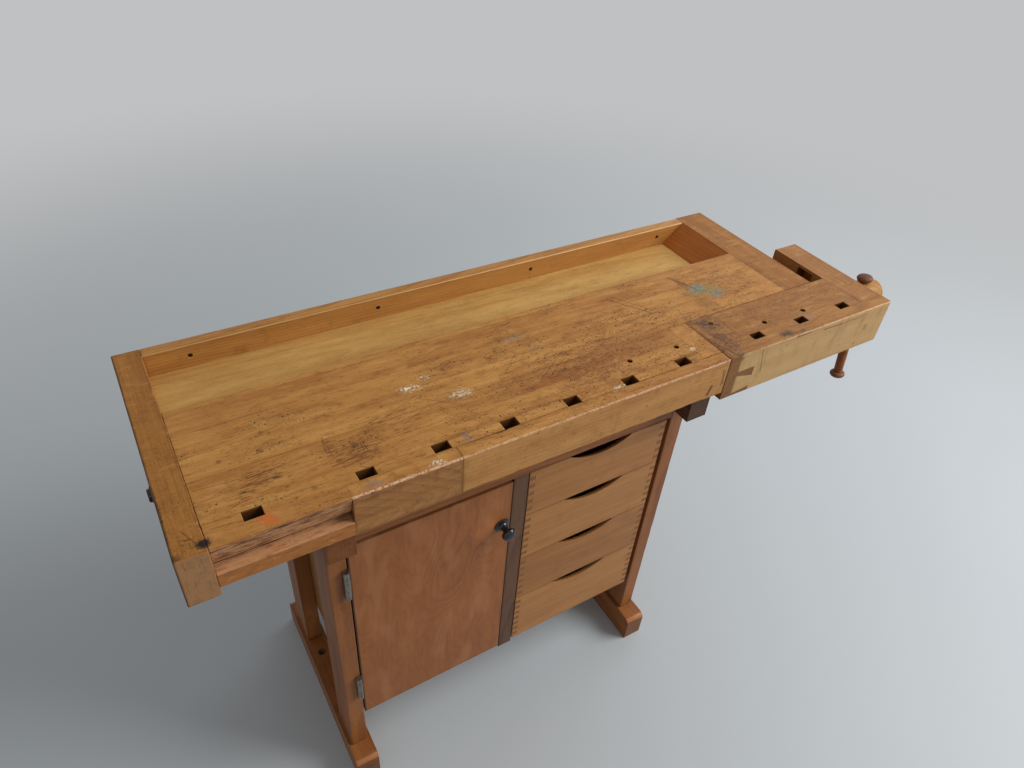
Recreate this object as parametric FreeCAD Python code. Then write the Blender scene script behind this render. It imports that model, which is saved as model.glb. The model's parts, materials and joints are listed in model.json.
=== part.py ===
import FreeCAD, Part
import math
import os

# Small joiner's workbench: beech top with square dog holes and a sunken tool tray, an L-shaped
# tail vise with a wooden screw, two trestles on sledge feet, and a cabinet with a cupboard door
# and four drawers between them.
#
# Sizes are in millimetres. While it is built, x runs from the outer face of the left end cap,
# y from the front face, and z up from the floor. At export the whole bench moves so that its
# origin is on the floor under the middle of its bounding box.

os.makedirs("parts", exist_ok=True)

Vector = FreeCAD.Vector

# Fits
touch_gap = 0.3             # between pieces that move past each other
running_gap = 0.05          # radial, a pin in its knuckle
bolt_gap = 0.1              # radial, a bolt or screw in its hole

# Whole bench
bench_height = 800.0
top_length = 1200.0
top_depth = 436.0
rim_height = 88.0           # end caps, tail vise and back board
strip_height = 72.0         # front strips, dog core and bench jaw
left_cap_width = 41.0
right_cap_width = 71.0
worn_radius = 2.5           # rounding of the handled edges

# Work surface
board_thickness = 53.0
front_strip_thickness = 24.5
left_strip_length = 159.0
bench_jaw_length = 40.0
peg_hole_radius = 5.0
peg_hole_depth = 30.0
peg_holes = ((721.0, 73.0), (817.0, 69.0))

# Dog holes
dog_width = 25.5
dog_depth = 17.0
first_dog = 101.0
first_dog_gap = 149.0
dog_pitch = 110.0
dog_end_wall = 20.0

# Old front-vise seat at the left of the front edge
seat_length = 177.0
seat_lip = 3.0
seat_setback = 14.0
seat_bevel = 40.0
seat_ledge = 47.0
seat_groove_depth = 4.0
seat_notch = 5.0
seat_notch_height = 13.0
seat_notch_width = 10.0

# Tool tray
tray_width = 144.0
tray_depth = 41.0
tray_floor_thickness = 12.0
tray_floor_lap = 12.0
back_board_thickness = 22.0
ramp_run = 47.0
tray_screw_inset = 67.0
tray_screw_count = 4
tray_screw_drop = 20.0
tray_screw_head_radius = 4.0
tray_screw_head = 2.5
tray_screw_sink = 3.5
tray_screw_radius = 2.0
tray_screw_length = 14.0

# End cap bolts
cap_bolt_radius = 5.0
cap_bolt_length = 95.0
cap_bolt_drop = 30.0
cap_bolt_head = 4.0
cap_bolt_flats = 17.0
cap_washer_radius = 12.0
cap_washer_thickness = 1.5
left_bolt_from_notch = 32.0
right_bolt_from_tray = 12.0

# Tail vise body
vise_length = 413.5
vise_width = 118.0
arm_gap = 33.5
arm_width = 58.5
arm_reach = 242.6
jaw_gap = 1.0               # seam at the closed jaws
vise_side_gap = 0.5         # along the notch in the bench
vise_jaw_length = 60.5
vise_jaw_face = 24.5        # part of the jaw block that shows at the front
vise_top_thickness = 16.0
vise_first_dog = 91.5
vise_peg_holes = ((919.3, 96.5), (1012.0, 57.0), (1107.6, 54.0))
tail_length = 40.0
tail_top = 36.0
tail_root = 9.0
tail_spread = 10.0
half_tail_root = 5.0
arm_mortise_start = 141.0
arm_mortise_width = 36.0
arm_mortise_drop = 6.0
arm_mortise_height = 40.0
arm_mortise_depth = 25.0

# Vise guides
rail_width = 26.0
runner_width = 18.0
runner_height = 18.0
runner_drop = 62.0
runner_end_margin = 6.0
runner_arm_depth = 28.0
guide_start = 146.0
guide_width = 28.0
guide_height = 26.0
guide_drop = 58.0
guide_length = 290.0

# Vise screw, nut and garter
screw_setback = 80.0
screw_drop = 40.0
screw_radius = 16.0
screw_root_radius = 12.5
screw_reach = 285.0
thread_pitch = 8.0
thread_crest = 1.5
neck_groove_radius = 12.0
garter_thickness = 8.0
garter_width = 42.0
garter_inset = 22.0
nut_length = 55.0
nut_front_wall = 14.0
nut_top_gap = 1.5
nut_bottom_gap = 4.0

# Vise hub and handle
hub_gap = 0.5
hub_length = 68.0
hub_belly_radius = 30.0
hub_inner_radius = 26.0
hub_outer_radius = 25.0
hub_nose_rounding = 5.0
handle_station = 29.5       # handle's place along the hub
handle_tilt = 6.8           # degrees from upright
handle_radius = 9.5
handle_span = 212.6         # between the knobs' inner faces
knob_radius = 15.5
knob_thickness = 14.0
knob_rounding = 5.0

# Trestles
trestle_start = 9.0
foot_length = 406.0
foot_width = 43.0
foot_height = 64.0
foot_rounding = 12.0
foot_hole_radius = 4.5
foot_hole_depth = 30.0
foot_hole_setback = 255.0
upright_width = 30.5
upright_depth = 72.0
upright_inset = 40.0
bearer_height = 36.5
bearer_width = 43.0
bearer_rise_gap = 0.5
left_trestle_from_cap = 157.25
right_trestle_from_jaw = 34.75
tenon_thickness = 12.0
tenon_width = 48.0
tenon_length = 30.0
tenon_gap = 0.1
bearer_screw_radius = 4.0
bearer_screw_head_radius = 9.0
bearer_screw_head = 3.5
bearer_screw_grip = 23.0
bearer_screw_from_notch = 27.0
bearer_screw_from_tray = 35.0
side_screw_radius = 2.0
side_screw_head_radius = 4.0
side_screw_head = 3.0
side_screw_length = 26.0
side_screw_drops = (200.0, 590.0)

# Cabinet
side_panel = 8.0
cabinet_top_thickness = 23.5
cabinet_back_thickness = 5.0
cupboard_floor_thickness = 12.0
divider_start = 499.5
divider_width = 28.5
divider_drop = 640.0

# Door
door_thickness = 16.0
door_drop = 154.5
door_height = 479.5
door_gap = 2.0
door_free_gap = 1.5
hinge_height = 65.0
hinge_drops = (202.0, 503.0)
leaf_thickness = 0.8
leaf_web = 2.0
barrel_radius = 4.9
hinge_pin_radius = 2.5
knuckle_share = 0.34        # middle knuckle's part of the hinge height
knuckle_gap = 0.3
hinge_screw_radius = 1.6
hinge_screw_head_radius = 3.2
hinge_screw_length = 11.0
hinge_screw_spread = 21.0
door_knob_inset = 15.0
door_knob_drop = 97.0
door_knob_base_radius = 14.0
door_knob_base = 3.0
door_knob_neck_radius = 6.0
door_knob_head_radius = 13.0
door_knob_length = 31.0
door_knob_head = 12.0

# Drawers, from the top one down
drawer_top_gap = 2.0
drawer_spacings = (106.0, 118.0, 123.0, 136.0)
drawer_gap = 2.0
drawer_side_gap = 2.0
drawer_rear_gap = 5.0
drawer_front_thickness = 14.0
drawer_side_thickness = 12.0
drawer_back_thickness = 12.0
drawer_bottom_thickness = 4.0
drawer_bottom_rise = 8.0
drawer_bottom_let_in = 5.0
finger_size = 9.5
scoop_width = 128.0
scoop_depth = 18.0
scoop_slope = 38.0          # degrees, towards the inside
runner_strip_height = 10.0
runner_strip_let_in = 4.0
runner_strip_setback = 31.0
runner_groove_start = 17.0
runner_groove_gap = 0.4
runner_groove_depth = 5.0

# Places that follow from the sizes above
inner_left = left_cap_width
inner_right = top_length - right_cap_width
tray_back = top_depth - back_board_thickness
tray_front = tray_back - tray_width
seat_end = inner_left + seat_length
groove_back = seat_setback + seat_groove_depth
strip_joint = seat_end + left_strip_length
core_front = front_strip_thickness
core_back = core_front + dog_depth
arm_inner = top_length + arm_gap
vise_end = arm_inner + arm_width
bench_jaw = vise_end - vise_length
vise_jaw = bench_jaw + jaw_gap
vise_back = vise_width - vise_side_gap
vise_jaw_back = vise_jaw + vise_jaw_length
bench_jaw_start = bench_jaw - bench_jaw_length
rail_back = vise_width + rail_width
hub_start = vise_end + hub_gap
hub_end = hub_start + hub_length
bearer_bottom = rim_height + bearer_height
left_trestle = inner_left + left_trestle_from_cap
right_trestle = bench_jaw - right_trestle_from_jaw
front_upright = trestle_start + upright_inset
rear_upright = trestle_start + foot_length - upright_inset - upright_depth
cabinet_left = left_trestle + upright_width / 2
cabinet_right = right_trestle - upright_width / 2
cabinet_face = front_upright
panel_front = cabinet_face + door_thickness
cabinet_rear = rear_upright + upright_depth
panel_rear = cabinet_rear - cabinet_back_thickness
divider_end = divider_start + divider_width
cabinet_floor = bearer_bottom + cabinet_top_thickness
drawer_top = cabinet_floor + drawer_top_gap
drawer_left = divider_end + drawer_side_gap
drawer_right = cabinet_right - side_panel - drawer_side_gap
drawer_rear = panel_rear - drawer_rear_gap
leaf_plane = cabinet_left + leaf_thickness
hinge_x = leaf_plane - barrel_radius
hinge_y = cabinet_face - barrel_radius - touch_gap
cap_bolt_stand = cap_washer_thickness + cap_bolt_head
left_bolt_setback = vise_width + left_bolt_from_notch
right_bolt_setback = tray_front - right_bolt_from_tray
bearer_screw_setbacks = (vise_width + bearer_screw_from_notch, tray_front - bearer_screw_from_tray)

export_shift = Vector(-(hub_end - cap_bolt_stand) / 2, -top_depth / 2, 0)


def at(x, y, drop):
    """Point at a depth below the work surface."""
    return Vector(x, y, bench_height - drop)


def block(x0, x1, y0, y1, drop0, drop1):
    """Box between two x, two y and two depths below the work surface, the upper depth first."""
    return Part.makeBox(x1 - x0, y1 - y0, drop1 - drop0, at(x0, y0, drop1))


def cylinder(start, direction, radius, length):
    return Part.makeCylinder(radius, length, start, direction)


def prism(points, direction):
    """Solid swept from a closed outline of points."""
    wire = Part.makePolygon(list(points) + [points[0]])
    return Part.Face(wire).extrude(direction)


def turned(profile, base, axis):
    """Solid of revolution: profile is a list of (distance along the axis, radius)."""
    outline = [Vector(radius, 0, along) for along, radius in profile]
    wire = Part.makePolygon(outline + [outline[0]])
    solid = Part.Face(wire).revolve(Vector(0, 0, 0), Vector(0, 0, 1), 360)
    solid.Placement = FreeCAD.Placement(base, FreeCAD.Rotation(Vector(0, 0, 1), axis))
    return solid


def lies_at(edge, planes):
    box = edge.BoundBox
    spans = {"x": (box.XMin, box.XMax), "y": (box.YMin, box.YMax), "z": (box.ZMin, box.ZMax)}
    return all(max(abs(end - place) for end in spans[name]) < 0.01 for name, place in planes.items())


def soften(shape, radius, *lines):
    """Round the straight edges that lie on the given pairs of planes."""
    edges = [edge for edge in shape.Edges if any(lies_at(edge, line) for line in lines)]
    return shape.makeFillet(radius, edges)


def save(name, *solids):
    shape = solids[0] if len(solids) == 1 else Part.makeCompound(list(solids))
    placed = shape.copy()
    placed.translate(export_shift)
    placed.exportStep("parts/" + name + ".step")


def dog_row(first, end):
    """Centres of the dog holes at the usual pitch, as many as fit before the end."""
    count = 1 + int((end - dog_end_wall - dog_width / 2 - first) / dog_pitch)
    return [first + dog_pitch * index for index in range(count)]


def dog_centres():
    return [first_dog] + dog_row(first_dog + first_dog_gap, bench_jaw_start)


def vise_dog_centres():
    return dog_row(bench_jaw + vise_first_dog, arm_inner)


def core_blocks(start, end, centres, height):
    """Blocks of the dog-hole core that lie between the holes."""
    edges = [start]
    for centre in centres:
        edges += [centre - dog_width / 2, centre + dog_width / 2]
    edges.append(end)
    pairs = zip(edges[0::2], edges[1::2])
    return [block(low, high, core_front, core_back, 0, height) for low, high in pairs]


def peg_holes_through(places, depth):
    return [cylinder(at(x, y, depth), Vector(0, 0, 1), peg_hole_radius, depth) for x, y in places]


# Top

def cap_bolt(face, direction, setback):
    """Hex bolt with its washer under the head, driven along -direction into the end of the top."""
    seat = at(face, setback, cap_bolt_drop)
    washer = cylinder(seat, direction, cap_washer_radius, cap_washer_thickness)
    washer = washer.cut(cylinder(seat, direction, cap_bolt_radius + bolt_gap, cap_washer_thickness))
    corner = cap_bolt_flats / math.sqrt(3)
    turns = [math.radians(60 * index) for index in range(6)]
    head_seat = seat + direction * cap_washer_thickness
    ring = [head_seat + Vector(0, corner * math.cos(a), corner * math.sin(a)) for a in turns]
    head = prism(ring, direction * cap_bolt_head)
    shank = cylinder(head_seat, -direction, cap_bolt_radius, cap_bolt_length)
    return [washer, head.fuse(shank).removeSplitter()]


def cap_bolt_hole(face, direction, setback):
    start = at(face, setback, cap_bolt_drop)
    return cylinder(start, -direction, cap_bolt_radius + bolt_gap, cap_bolt_length)


def make_end_caps():
    right_way = Vector(1, 0, 0)
    left_way = Vector(-1, 0, 0)
    left_hole = cap_bolt_hole(0, left_way, left_bolt_setback)
    right_hole = cap_bolt_hole(top_length, right_way, right_bolt_setback)
    left = block(0, inner_left, 0, top_depth, 0, rim_height)
    left = soften(left, worn_radius, {"x": 0, "z": bench_height}, {"y": 0, "z": bench_height},
                  {"x": 0, "y": 0}, {"x": 0, "y": top_depth})
    save("left_end_cap", left.cut(left_hole))
    right = block(inner_right, top_length, vise_width, top_depth, 0, rim_height)
    right = soften(right, worn_radius, {"x": top_length, "z": bench_height},
                   {"x": top_length, "y": top_depth})
    runner_slot = runner_space(inner_right, top_length)
    guide_slot = guide_space(inner_right, top_length)
    save("right_end_cap", right.cut([right_hole, runner_slot, guide_slot]))
    bolts = cap_bolt(0, left_way, left_bolt_setback)
    bolts += cap_bolt(top_length, right_way, right_bolt_setback)
    save("end_cap_bolts", *bolts)


def make_front_strips():
    left = block(seat_end, strip_joint, 0, core_front, 0, strip_height)
    left = soften(left, worn_radius, {"y": 0, "z": bench_height})
    notch = block(seat_end, seat_end + seat_notch, groove_back - seat_notch_width, groove_back,
                  seat_ledge - seat_notch_height, seat_ledge)
    save("front_strip_left", left.cut(notch))
    right = block(strip_joint, bench_jaw, 0, core_front, 0, strip_height)
    save("front_strip_right", soften(right, worn_radius, {"y": 0, "z": bench_height}))


def make_vise_seat():
    """Front edge where an old face vise sat: long worn bevel, groove, and a ledge below it."""
    outline = [(core_front, 0), (0, 0), (0, seat_lip), (seat_setback, seat_bevel),
               (groove_back, seat_bevel), (groove_back, seat_ledge), (0, seat_ledge),
               (0, strip_height), (core_front, strip_height)]
    points = [at(inner_left, y, drop) for y, drop in outline]
    save("vise_seat_strip", prism(points, Vector(seat_length, 0, 0)))


def make_boards():
    blocks = core_blocks(inner_left, bench_jaw_start, dog_centres(), strip_height)
    save("dog_core_blocks", *blocks)
    front = block(inner_left, bench_jaw_start, core_back, vise_width, 0, board_thickness)
    save("front_board", front.cut(peg_holes_through(peg_holes, peg_hole_depth)))
    back = block(inner_left, inner_right, vise_width, tray_front, 0, board_thickness)
    rebate = block(inner_left, inner_right, tray_front - tray_floor_lap, tray_front,
                   tray_depth, board_thickness)
    left_hole = cap_bolt_hole(0, Vector(-1, 0, 0), left_bolt_setback)
    right_hole = cap_bolt_hole(top_length, Vector(1, 0, 0), right_bolt_setback)
    save("back_board_of_top", back.cut([rebate, left_hole, right_hole] + bearer_screw_holes()))
    jaw = block(bench_jaw_start, bench_jaw, core_front, vise_width, 0, strip_height)
    save("bench_jaw_block", jaw)


def tray_screw_centres():
    span = inner_right - inner_left - 2 * tray_screw_inset
    step = span / (tray_screw_count - 1)
    return [inner_left + tray_screw_inset + step * index for index in range(tray_screw_count)]


def make_tray():
    floor_top = tray_depth
    floor_bottom = tray_depth + tray_floor_thickness
    floor = block(inner_left, inner_right, tray_front - tray_floor_lap, tray_back,
                  floor_top, floor_bottom)
    save("tray_floor", floor)
    slope = [at(inner_right, tray_front, 0), at(inner_right, tray_front, tray_depth),
             at(inner_right - ramp_run, tray_front, tray_depth)]
    save("tray_ramp", prism(slope, Vector(0, tray_width, 0)))
    back = block(inner_left, inner_right, tray_back, top_depth, 0, rim_height)
    back = soften(back, worn_radius, {"y": tray_back, "z": bench_height},
                  {"y": top_depth, "z": bench_height})
    screws = []
    holes = []
    for x in tray_screw_centres():
        mouth = at(x, tray_back, tray_screw_drop)
        inward = Vector(0, 1, 0)
        head_seat = mouth + inward * tray_screw_sink
        head = cylinder(head_seat, -inward, tray_screw_head_radius, tray_screw_head)
        shank = cylinder(head_seat, inward, tray_screw_radius, tray_screw_length)
        screws.append(head.fuse(shank))
        holes.append(cylinder(mouth, inward, tray_screw_head_radius + bolt_gap, tray_screw_sink))
        holes.append(cylinder(head_seat, inward, tray_screw_radius + bolt_gap, tray_screw_length))
    save("back_board", back.cut(holes))
    save("back_board_screws", *screws)


# Tail vise

def runner_space(x0, x1):
    return block(x0, x1, vise_width, vise_back + runner_width + touch_gap,
                 runner_drop - touch_gap, runner_drop + runner_height + touch_gap)


def guide_space(x0, x1):
    return block(x0, x1, guide_start - touch_gap, guide_start + guide_width + touch_gap,
                 guide_drop - touch_gap, guide_drop + guide_height + touch_gap)


def screw_bore(x0, x1):
    start = at(x0, screw_setback, screw_drop)
    return cylinder(start, Vector(1, 0, 0), screw_radius + touch_gap, x1 - x0)


def make_notch_rail():
    rail = block(bench_jaw, inner_right, vise_width, rail_back, board_thickness, rim_height)
    save("notch_rail", rail.cut(runner_space(bench_jaw, inner_right)))


def make_nut_block():
    nut_front = screw_setback - screw_radius - nut_front_wall
    nut = block(top_length - nut_length, top_length, nut_front, vise_width,
                vise_top_thickness + nut_top_gap, rim_height - nut_bottom_gap)
    relief = block(top_length - nut_length, top_length, vise_back - touch_gap, vise_width,
                   runner_drop - touch_gap, runner_drop + runner_height + touch_gap)
    save("vise_nut_block", nut.cut([screw_bore(top_length - nut_length, top_length), relief]))


def tail(top_drop, root, upper_spread, lower_spread):
    """Dovetail that runs through the front board, wider at its far end."""
    root_x = vise_jaw + vise_jaw_face
    tip_x = root_x + tail_length
    outline = [(root_x, top_drop), (tip_x, top_drop - upper_spread),
               (tip_x, top_drop + root + lower_spread), (root_x, top_drop + root)]
    return prism([at(x, 0, drop) for x, drop in outline], Vector(0, core_front, 0))


def vise_tails():
    middle = tail(tail_top, tail_root, 0, tail_spread)
    bottom = tail(rim_height - half_tail_root, half_tail_root, half_tail_root, 0)
    return [middle, bottom]


def make_vise_jaw():
    body = block(vise_jaw, vise_jaw_back, core_front, vise_back, 0, rim_height)
    face = block(vise_jaw, vise_jaw + vise_jaw_face, 0, core_front, 0, rim_height)
    jaw = body.fuse([face] + vise_tails()).removeSplitter()
    peg = peg_holes_through(vise_peg_holes[:1], peg_hole_depth)
    save("vise_jaw_block", jaw.cut(peg))


def make_vise_body():
    board = block(vise_jaw + vise_jaw_face, vise_end, 0, core_front, 0, rim_height)
    board = soften(board, worn_radius, {"y": 0, "z": bench_height}, {"x": vise_end, "y": 0})
    save("vise_front_board", board.cut(vise_tails()))
    blocks = core_blocks(vise_jaw_back, arm_inner, vise_dog_centres(), rim_height)
    save("vise_dog_blocks", *blocks)
    top = block(vise_jaw_back, arm_inner, core_back, vise_back, 0, vise_top_thickness)
    save("vise_top_board", top.cut(peg_holes_through(vise_peg_holes[1:], vise_top_thickness)))
    make_vise_arm()


def garter_space(gap):
    """Slot from the underside of the arm up round the neck of the screw."""
    start = vise_end - garter_inset - garter_thickness
    slot = block(start - gap, start + garter_thickness + gap,
                 screw_setback - garter_width / 2 - gap, screw_setback + garter_width / 2 + gap,
                 screw_drop, rim_height)
    return slot


def make_vise_arm():
    arm = block(arm_inner, vise_end, core_front, arm_reach, 0, rim_height)
    arm = soften(arm, worn_radius, {"x": vise_end, "z": bench_height},
                 {"x": vise_end, "y": arm_reach}, {"y": arm_reach, "z": bench_height})
    mortise = block(arm_inner, arm_inner + arm_mortise_depth, arm_mortise_start,
                    arm_mortise_start + arm_mortise_width, arm_mortise_drop,
                    arm_mortise_drop + arm_mortise_height)
    housings = [vise_runner(), guide_bar(), garter_space(0), mortise]
    save("vise_end_block", arm.cut([screw_bore(arm_inner, vise_end)] + housings))
    garter = garter_space(0)
    bore = cylinder(at(arm_inner, screw_setback, screw_drop), Vector(1, 0, 0),
                    neck_groove_radius + touch_gap, arm_width)
    save("screw_garter", garter.cut(bore))


def vise_runner():
    return block(vise_jaw + runner_end_margin, arm_inner + runner_arm_depth, vise_back,
                 vise_back + runner_width, runner_drop, runner_drop + runner_height)


def guide_bar():
    return block(vise_end - guide_length, vise_end, guide_start, guide_start + guide_width,
                 guide_drop, guide_drop + guide_height)


def make_vise_guides():
    save("vise_runner", vise_runner())
    save("vise_guide_bar", guide_bar())


def screw_profile():
    """Wooden screw from its free end to the hub's nose: thread, neck with its groove, hub."""
    free_end = vise_end - arm_width - screw_reach
    thread_end = arm_inner - free_end
    depth = screw_radius - screw_root_radius
    flank = (thread_pitch - thread_crest) / 2
    profile = [(0, 0), (0, screw_root_radius)]
    along = flank
    while along + thread_crest + flank < thread_end:
        profile += [(along, screw_root_radius + depth), (along + thread_crest, screw_radius),
                    (along + thread_crest + flank, screw_root_radius)]
        along += thread_pitch
    garter_start = vise_end - garter_inset - garter_thickness - free_end
    groove_start = garter_start - touch_gap
    groove_end = garter_start + garter_thickness + touch_gap
    hub_base = hub_start - free_end
    profile += [(thread_end, screw_root_radius), (thread_end, screw_radius),
                (groove_start, screw_radius), (groove_start, neck_groove_radius),
                (groove_end, neck_groove_radius), (groove_end, screw_radius),
                (hub_base, screw_radius), (hub_base, hub_inner_radius)]
    profile += hub_curve(hub_base)
    profile.append((hub_base + hub_length, 0))
    return profile


def hub_curve(base):
    """Barrel-shaped outline of the hub with a rounded nose."""
    points = []
    steps = 12
    nose = hub_length - hub_nose_rounding
    for index in range(1, steps + 1):
        along = nose * index / steps
        rise = (hub_belly_radius - hub_inner_radius) * math.sin(math.pi * min(along / nose, 1))
        slope = (hub_outer_radius - hub_inner_radius) * along / nose
        points.append((base + along, hub_inner_radius + rise + slope))
    for index in range(1, 5):
        turn = math.pi / 2 * index / 4
        along = nose + hub_nose_rounding * math.sin(turn)
        radius = hub_outer_radius - hub_nose_rounding * (1 - math.cos(turn))
        points.append((base + along, radius))
    return points


def handle_axis():
    tilt = math.radians(handle_tilt)
    return Vector(0, math.sin(tilt), math.cos(tilt))


def handle_centre():
    return at(hub_start + handle_station, screw_setback, screw_drop)


def make_screw():
    free_end = vise_end - arm_width - screw_reach
    screw = turned(screw_profile(), at(free_end, screw_setback, screw_drop), Vector(1, 0, 0))
    axis = handle_axis()
    reach = 2 * hub_belly_radius
    start = handle_centre() - axis * reach
    hole = cylinder(start, axis, handle_radius + touch_gap, 2 * reach)
    save("vise_screw", screw.cut(hole))


def knob_profile():
    """Mushroom knob: flat towards the bar, rounded rim, domed outside."""
    profile = [(0, 0), (0, knob_radius - knob_rounding / 2)]
    for index in range(1, 7):
        turn = math.pi / 2 * index / 6
        profile.append((knob_rounding * math.sin(turn) * 0.9,
                        knob_radius - knob_rounding / 2 * math.cos(turn)))
    for index in range(1, 9):
        turn = math.pi / 2 * index / 8
        along = knob_rounding + (knob_thickness - knob_rounding) * math.sin(turn)
        profile.append((along, knob_radius * math.cos(turn)))
    return profile


def make_handle():
    axis = handle_axis()
    upper_face = handle_centre() + axis * (hub_belly_radius + touch_gap)
    lower_face = upper_face - axis * handle_span
    save("handle_bar", cylinder(lower_face, axis, handle_radius, handle_span))
    upper = turned(knob_profile(), upper_face, axis)
    lower = turned(knob_profile(), lower_face, -axis)
    save("handle_knobs", upper, lower)


# Trestles

def tenon(centre, setback, drop0, drop1, gap):
    middle = setback + upright_depth / 2
    half_width = tenon_width / 2 + gap
    half_thickness = tenon_thickness / 2 + gap
    return block(centre - half_thickness, centre + half_thickness,
                 middle - half_width, middle + half_width, drop0, drop1)


def tenon_pair(centre, setback, gap):
    foot_top = bench_height - foot_height
    upper = tenon(centre, setback, bearer_bottom - tenon_length, bearer_bottom, gap)
    lower = tenon(centre, setback, foot_top, foot_top + tenon_length, gap)
    return [upper, lower]


def mortises(centre):
    return tenon_pair(centre, front_upright, tenon_gap) + tenon_pair(centre, rear_upright, tenon_gap)


def bearer_screw_holes():
    holes = []
    for centre in (left_trestle, right_trestle):
        for setback in bearer_screw_setbacks:
            start = at(centre, setback, bearer_bottom)
            length = bearer_bottom - board_thickness + bearer_screw_grip
            holes.append(cylinder(start, Vector(0, 0, 1), bearer_screw_radius + bolt_gap, length))
    return holes


def side_screws(radius, head_radius):
    """Countersunk screws that hold the cabinet sides to the uprights."""
    screws = []
    for inner, way in ((cabinet_left + side_panel, -1), (cabinet_right - side_panel, 1)):
        direction = Vector(way, 0, 0)
        for setback in (front_upright, rear_upright):
            for drop in side_screw_drops:
                start = at(inner, setback + upright_depth / 2, drop)
                head = cylinder(start, direction, head_radius, side_screw_head)
                screws.append(head.fuse(cylinder(start, direction, radius, side_screw_length)))
    return screws


def side_screw_holes():
    return side_screws(side_screw_radius + bolt_gap, side_screw_head_radius + bolt_gap)


def make_frame_screws():
    screws = side_screws(side_screw_radius, side_screw_head_radius)
    for centre in (left_trestle, right_trestle):
        for setback in bearer_screw_setbacks:
            start = at(centre, setback, bearer_bottom)
            length = bearer_bottom - board_thickness + bearer_screw_grip
            shank = cylinder(start, Vector(0, 0, 1), bearer_screw_radius, length)
            head = cylinder(start, Vector(0, 0, -1), bearer_screw_head_radius, bearer_screw_head)
            screws.append(shank.fuse(head))
    save("frame_screws", *screws)


def make_foot(side, centre):
    rear = trestle_start + foot_length
    foot_top = bench_height - foot_height
    foot = block(centre - foot_width / 2, centre + foot_width / 2, trestle_start, rear,
                 foot_top, bench_height)
    foot = soften(foot, foot_rounding, {"y": trestle_start, "z": foot_height},
                  {"y": rear, "z": foot_height})
    hole = cylinder(at(centre, trestle_start + foot_hole_setback, foot_top), Vector(0, 0, -1),
                    foot_hole_radius, foot_hole_depth)
    save(side + "_foot", foot.cut(mortises(centre) + [hole]))


def make_uprights(side, centre):
    holes = side_screw_holes() + hinge_screw_holes(-1)
    for place, setback in (("front", front_upright), ("rear", rear_upright)):
        body = block(centre - upright_width / 2, centre + upright_width / 2,
                     setback, setback + upright_depth, bearer_bottom, bench_height - foot_height)
        upright = body.fuse(tenon_pair(centre, setback, 0)).removeSplitter()
        save(side + "_" + place + "_upright", upright.cut(holes))


def make_bearer(side, centre):
    low = centre - bearer_width / 2
    high = centre + bearer_width / 2
    rear = trestle_start + foot_length
    step = vise_width + bearer_rise_gap
    bar = block(low, high, trestle_start, rear, rim_height, bearer_bottom)
    front = block(low, high, trestle_start, step, strip_height, rim_height)
    rise = block(low, high, step, tray_back, board_thickness, rim_height)
    bearer = bar.fuse([front, rise]).removeSplitter()
    save(side + "_bearer", bearer.cut(mortises(centre) + bearer_screw_holes()))


def make_trestles():
    for side, centre in (("left", left_trestle), ("right", right_trestle)):
        make_foot(side, centre)
        make_uprights(side, centre)
        make_bearer(side, centre)
    make_frame_screws()


# Cabinet

def make_cabinet():
    base_drop = door_drop + door_height
    save("cabinet_top", block(cabinet_left, cabinet_right, cabinet_face, panel_rear,
                              bearer_bottom, cabinet_floor))
    left = block(cabinet_left, cabinet_left + side_panel, panel_front + touch_gap, panel_rear,
                 cabinet_floor, base_drop)
    save("cabinet_side_left", left.cut(side_screw_holes()))
    right = block(cabinet_right - side_panel, cabinet_right, panel_front, panel_rear,
                  cabinet_floor, base_drop)
    save("cabinet_side_right", right.cut(side_screw_holes()))
    save("cabinet_divider", block(divider_start, divider_end, cabinet_face, panel_rear,
                                  cabinet_floor, divider_drop))
    save("cupboard_floor", block(cabinet_left + side_panel, divider_start, panel_front + touch_gap,
                                 panel_rear, base_drop - cupboard_floor_thickness, base_drop))
    save("cabinet_back", block(cabinet_left, cabinet_right, panel_rear, cabinet_rear,
                               bearer_bottom, divider_drop))


# Door

def hinge_screw_places():
    middle = (cabinet_face + panel_front) / 2
    places = []
    for drop in hinge_drops:
        for shift in (-hinge_screw_spread, hinge_screw_spread):
            places.append((middle, drop + hinge_height / 2 + shift))
    return places


def leaf_face(way):
    """Face of the leaf that its screws start from; way is -1 for the frame, +1 for the door."""
    return leaf_plane if way < 0 else door_edge() - leaf_thickness


def door_edge():
    return cabinet_left + door_gap


def hinge_screw_holes(way):
    direction = Vector(way, 0, 0)
    radius = hinge_screw_radius + bolt_gap
    return [cylinder(at(leaf_face(way), y, drop), direction, radius, hinge_screw_length)
            for y, drop in hinge_screw_places()]


def hinge_screws(way):
    direction = Vector(way, 0, 0)
    screws = []
    for y, drop in hinge_screw_places():
        start = at(leaf_face(way), y, drop)
        head = cylinder(start, direction, hinge_screw_head_radius, leaf_thickness)
        shank = cylinder(start, direction, hinge_screw_radius, hinge_screw_length)
        screws.append(head.fuse(shank).removeSplitter())
    return screws


def barrel(drop, height):
    return cylinder(at(hinge_x, hinge_y, drop + height), Vector(0, 0, 1), barrel_radius, height)


def pin_bore(drop, height, gap):
    start = at(hinge_x, hinge_y, drop + height)
    return cylinder(start, Vector(0, 0, 1), hinge_pin_radius + gap, height)


def knuckle_spans(drop):
    """Upper and lower knuckles of the frame leaf and the middle one of the door leaf."""
    middle = hinge_height * knuckle_share
    outer = (hinge_height - middle) / 2
    frame = [(drop, outer - knuckle_gap), (drop + outer + middle + knuckle_gap, outer - knuckle_gap)]
    return frame, [(drop + outer, middle)]


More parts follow.
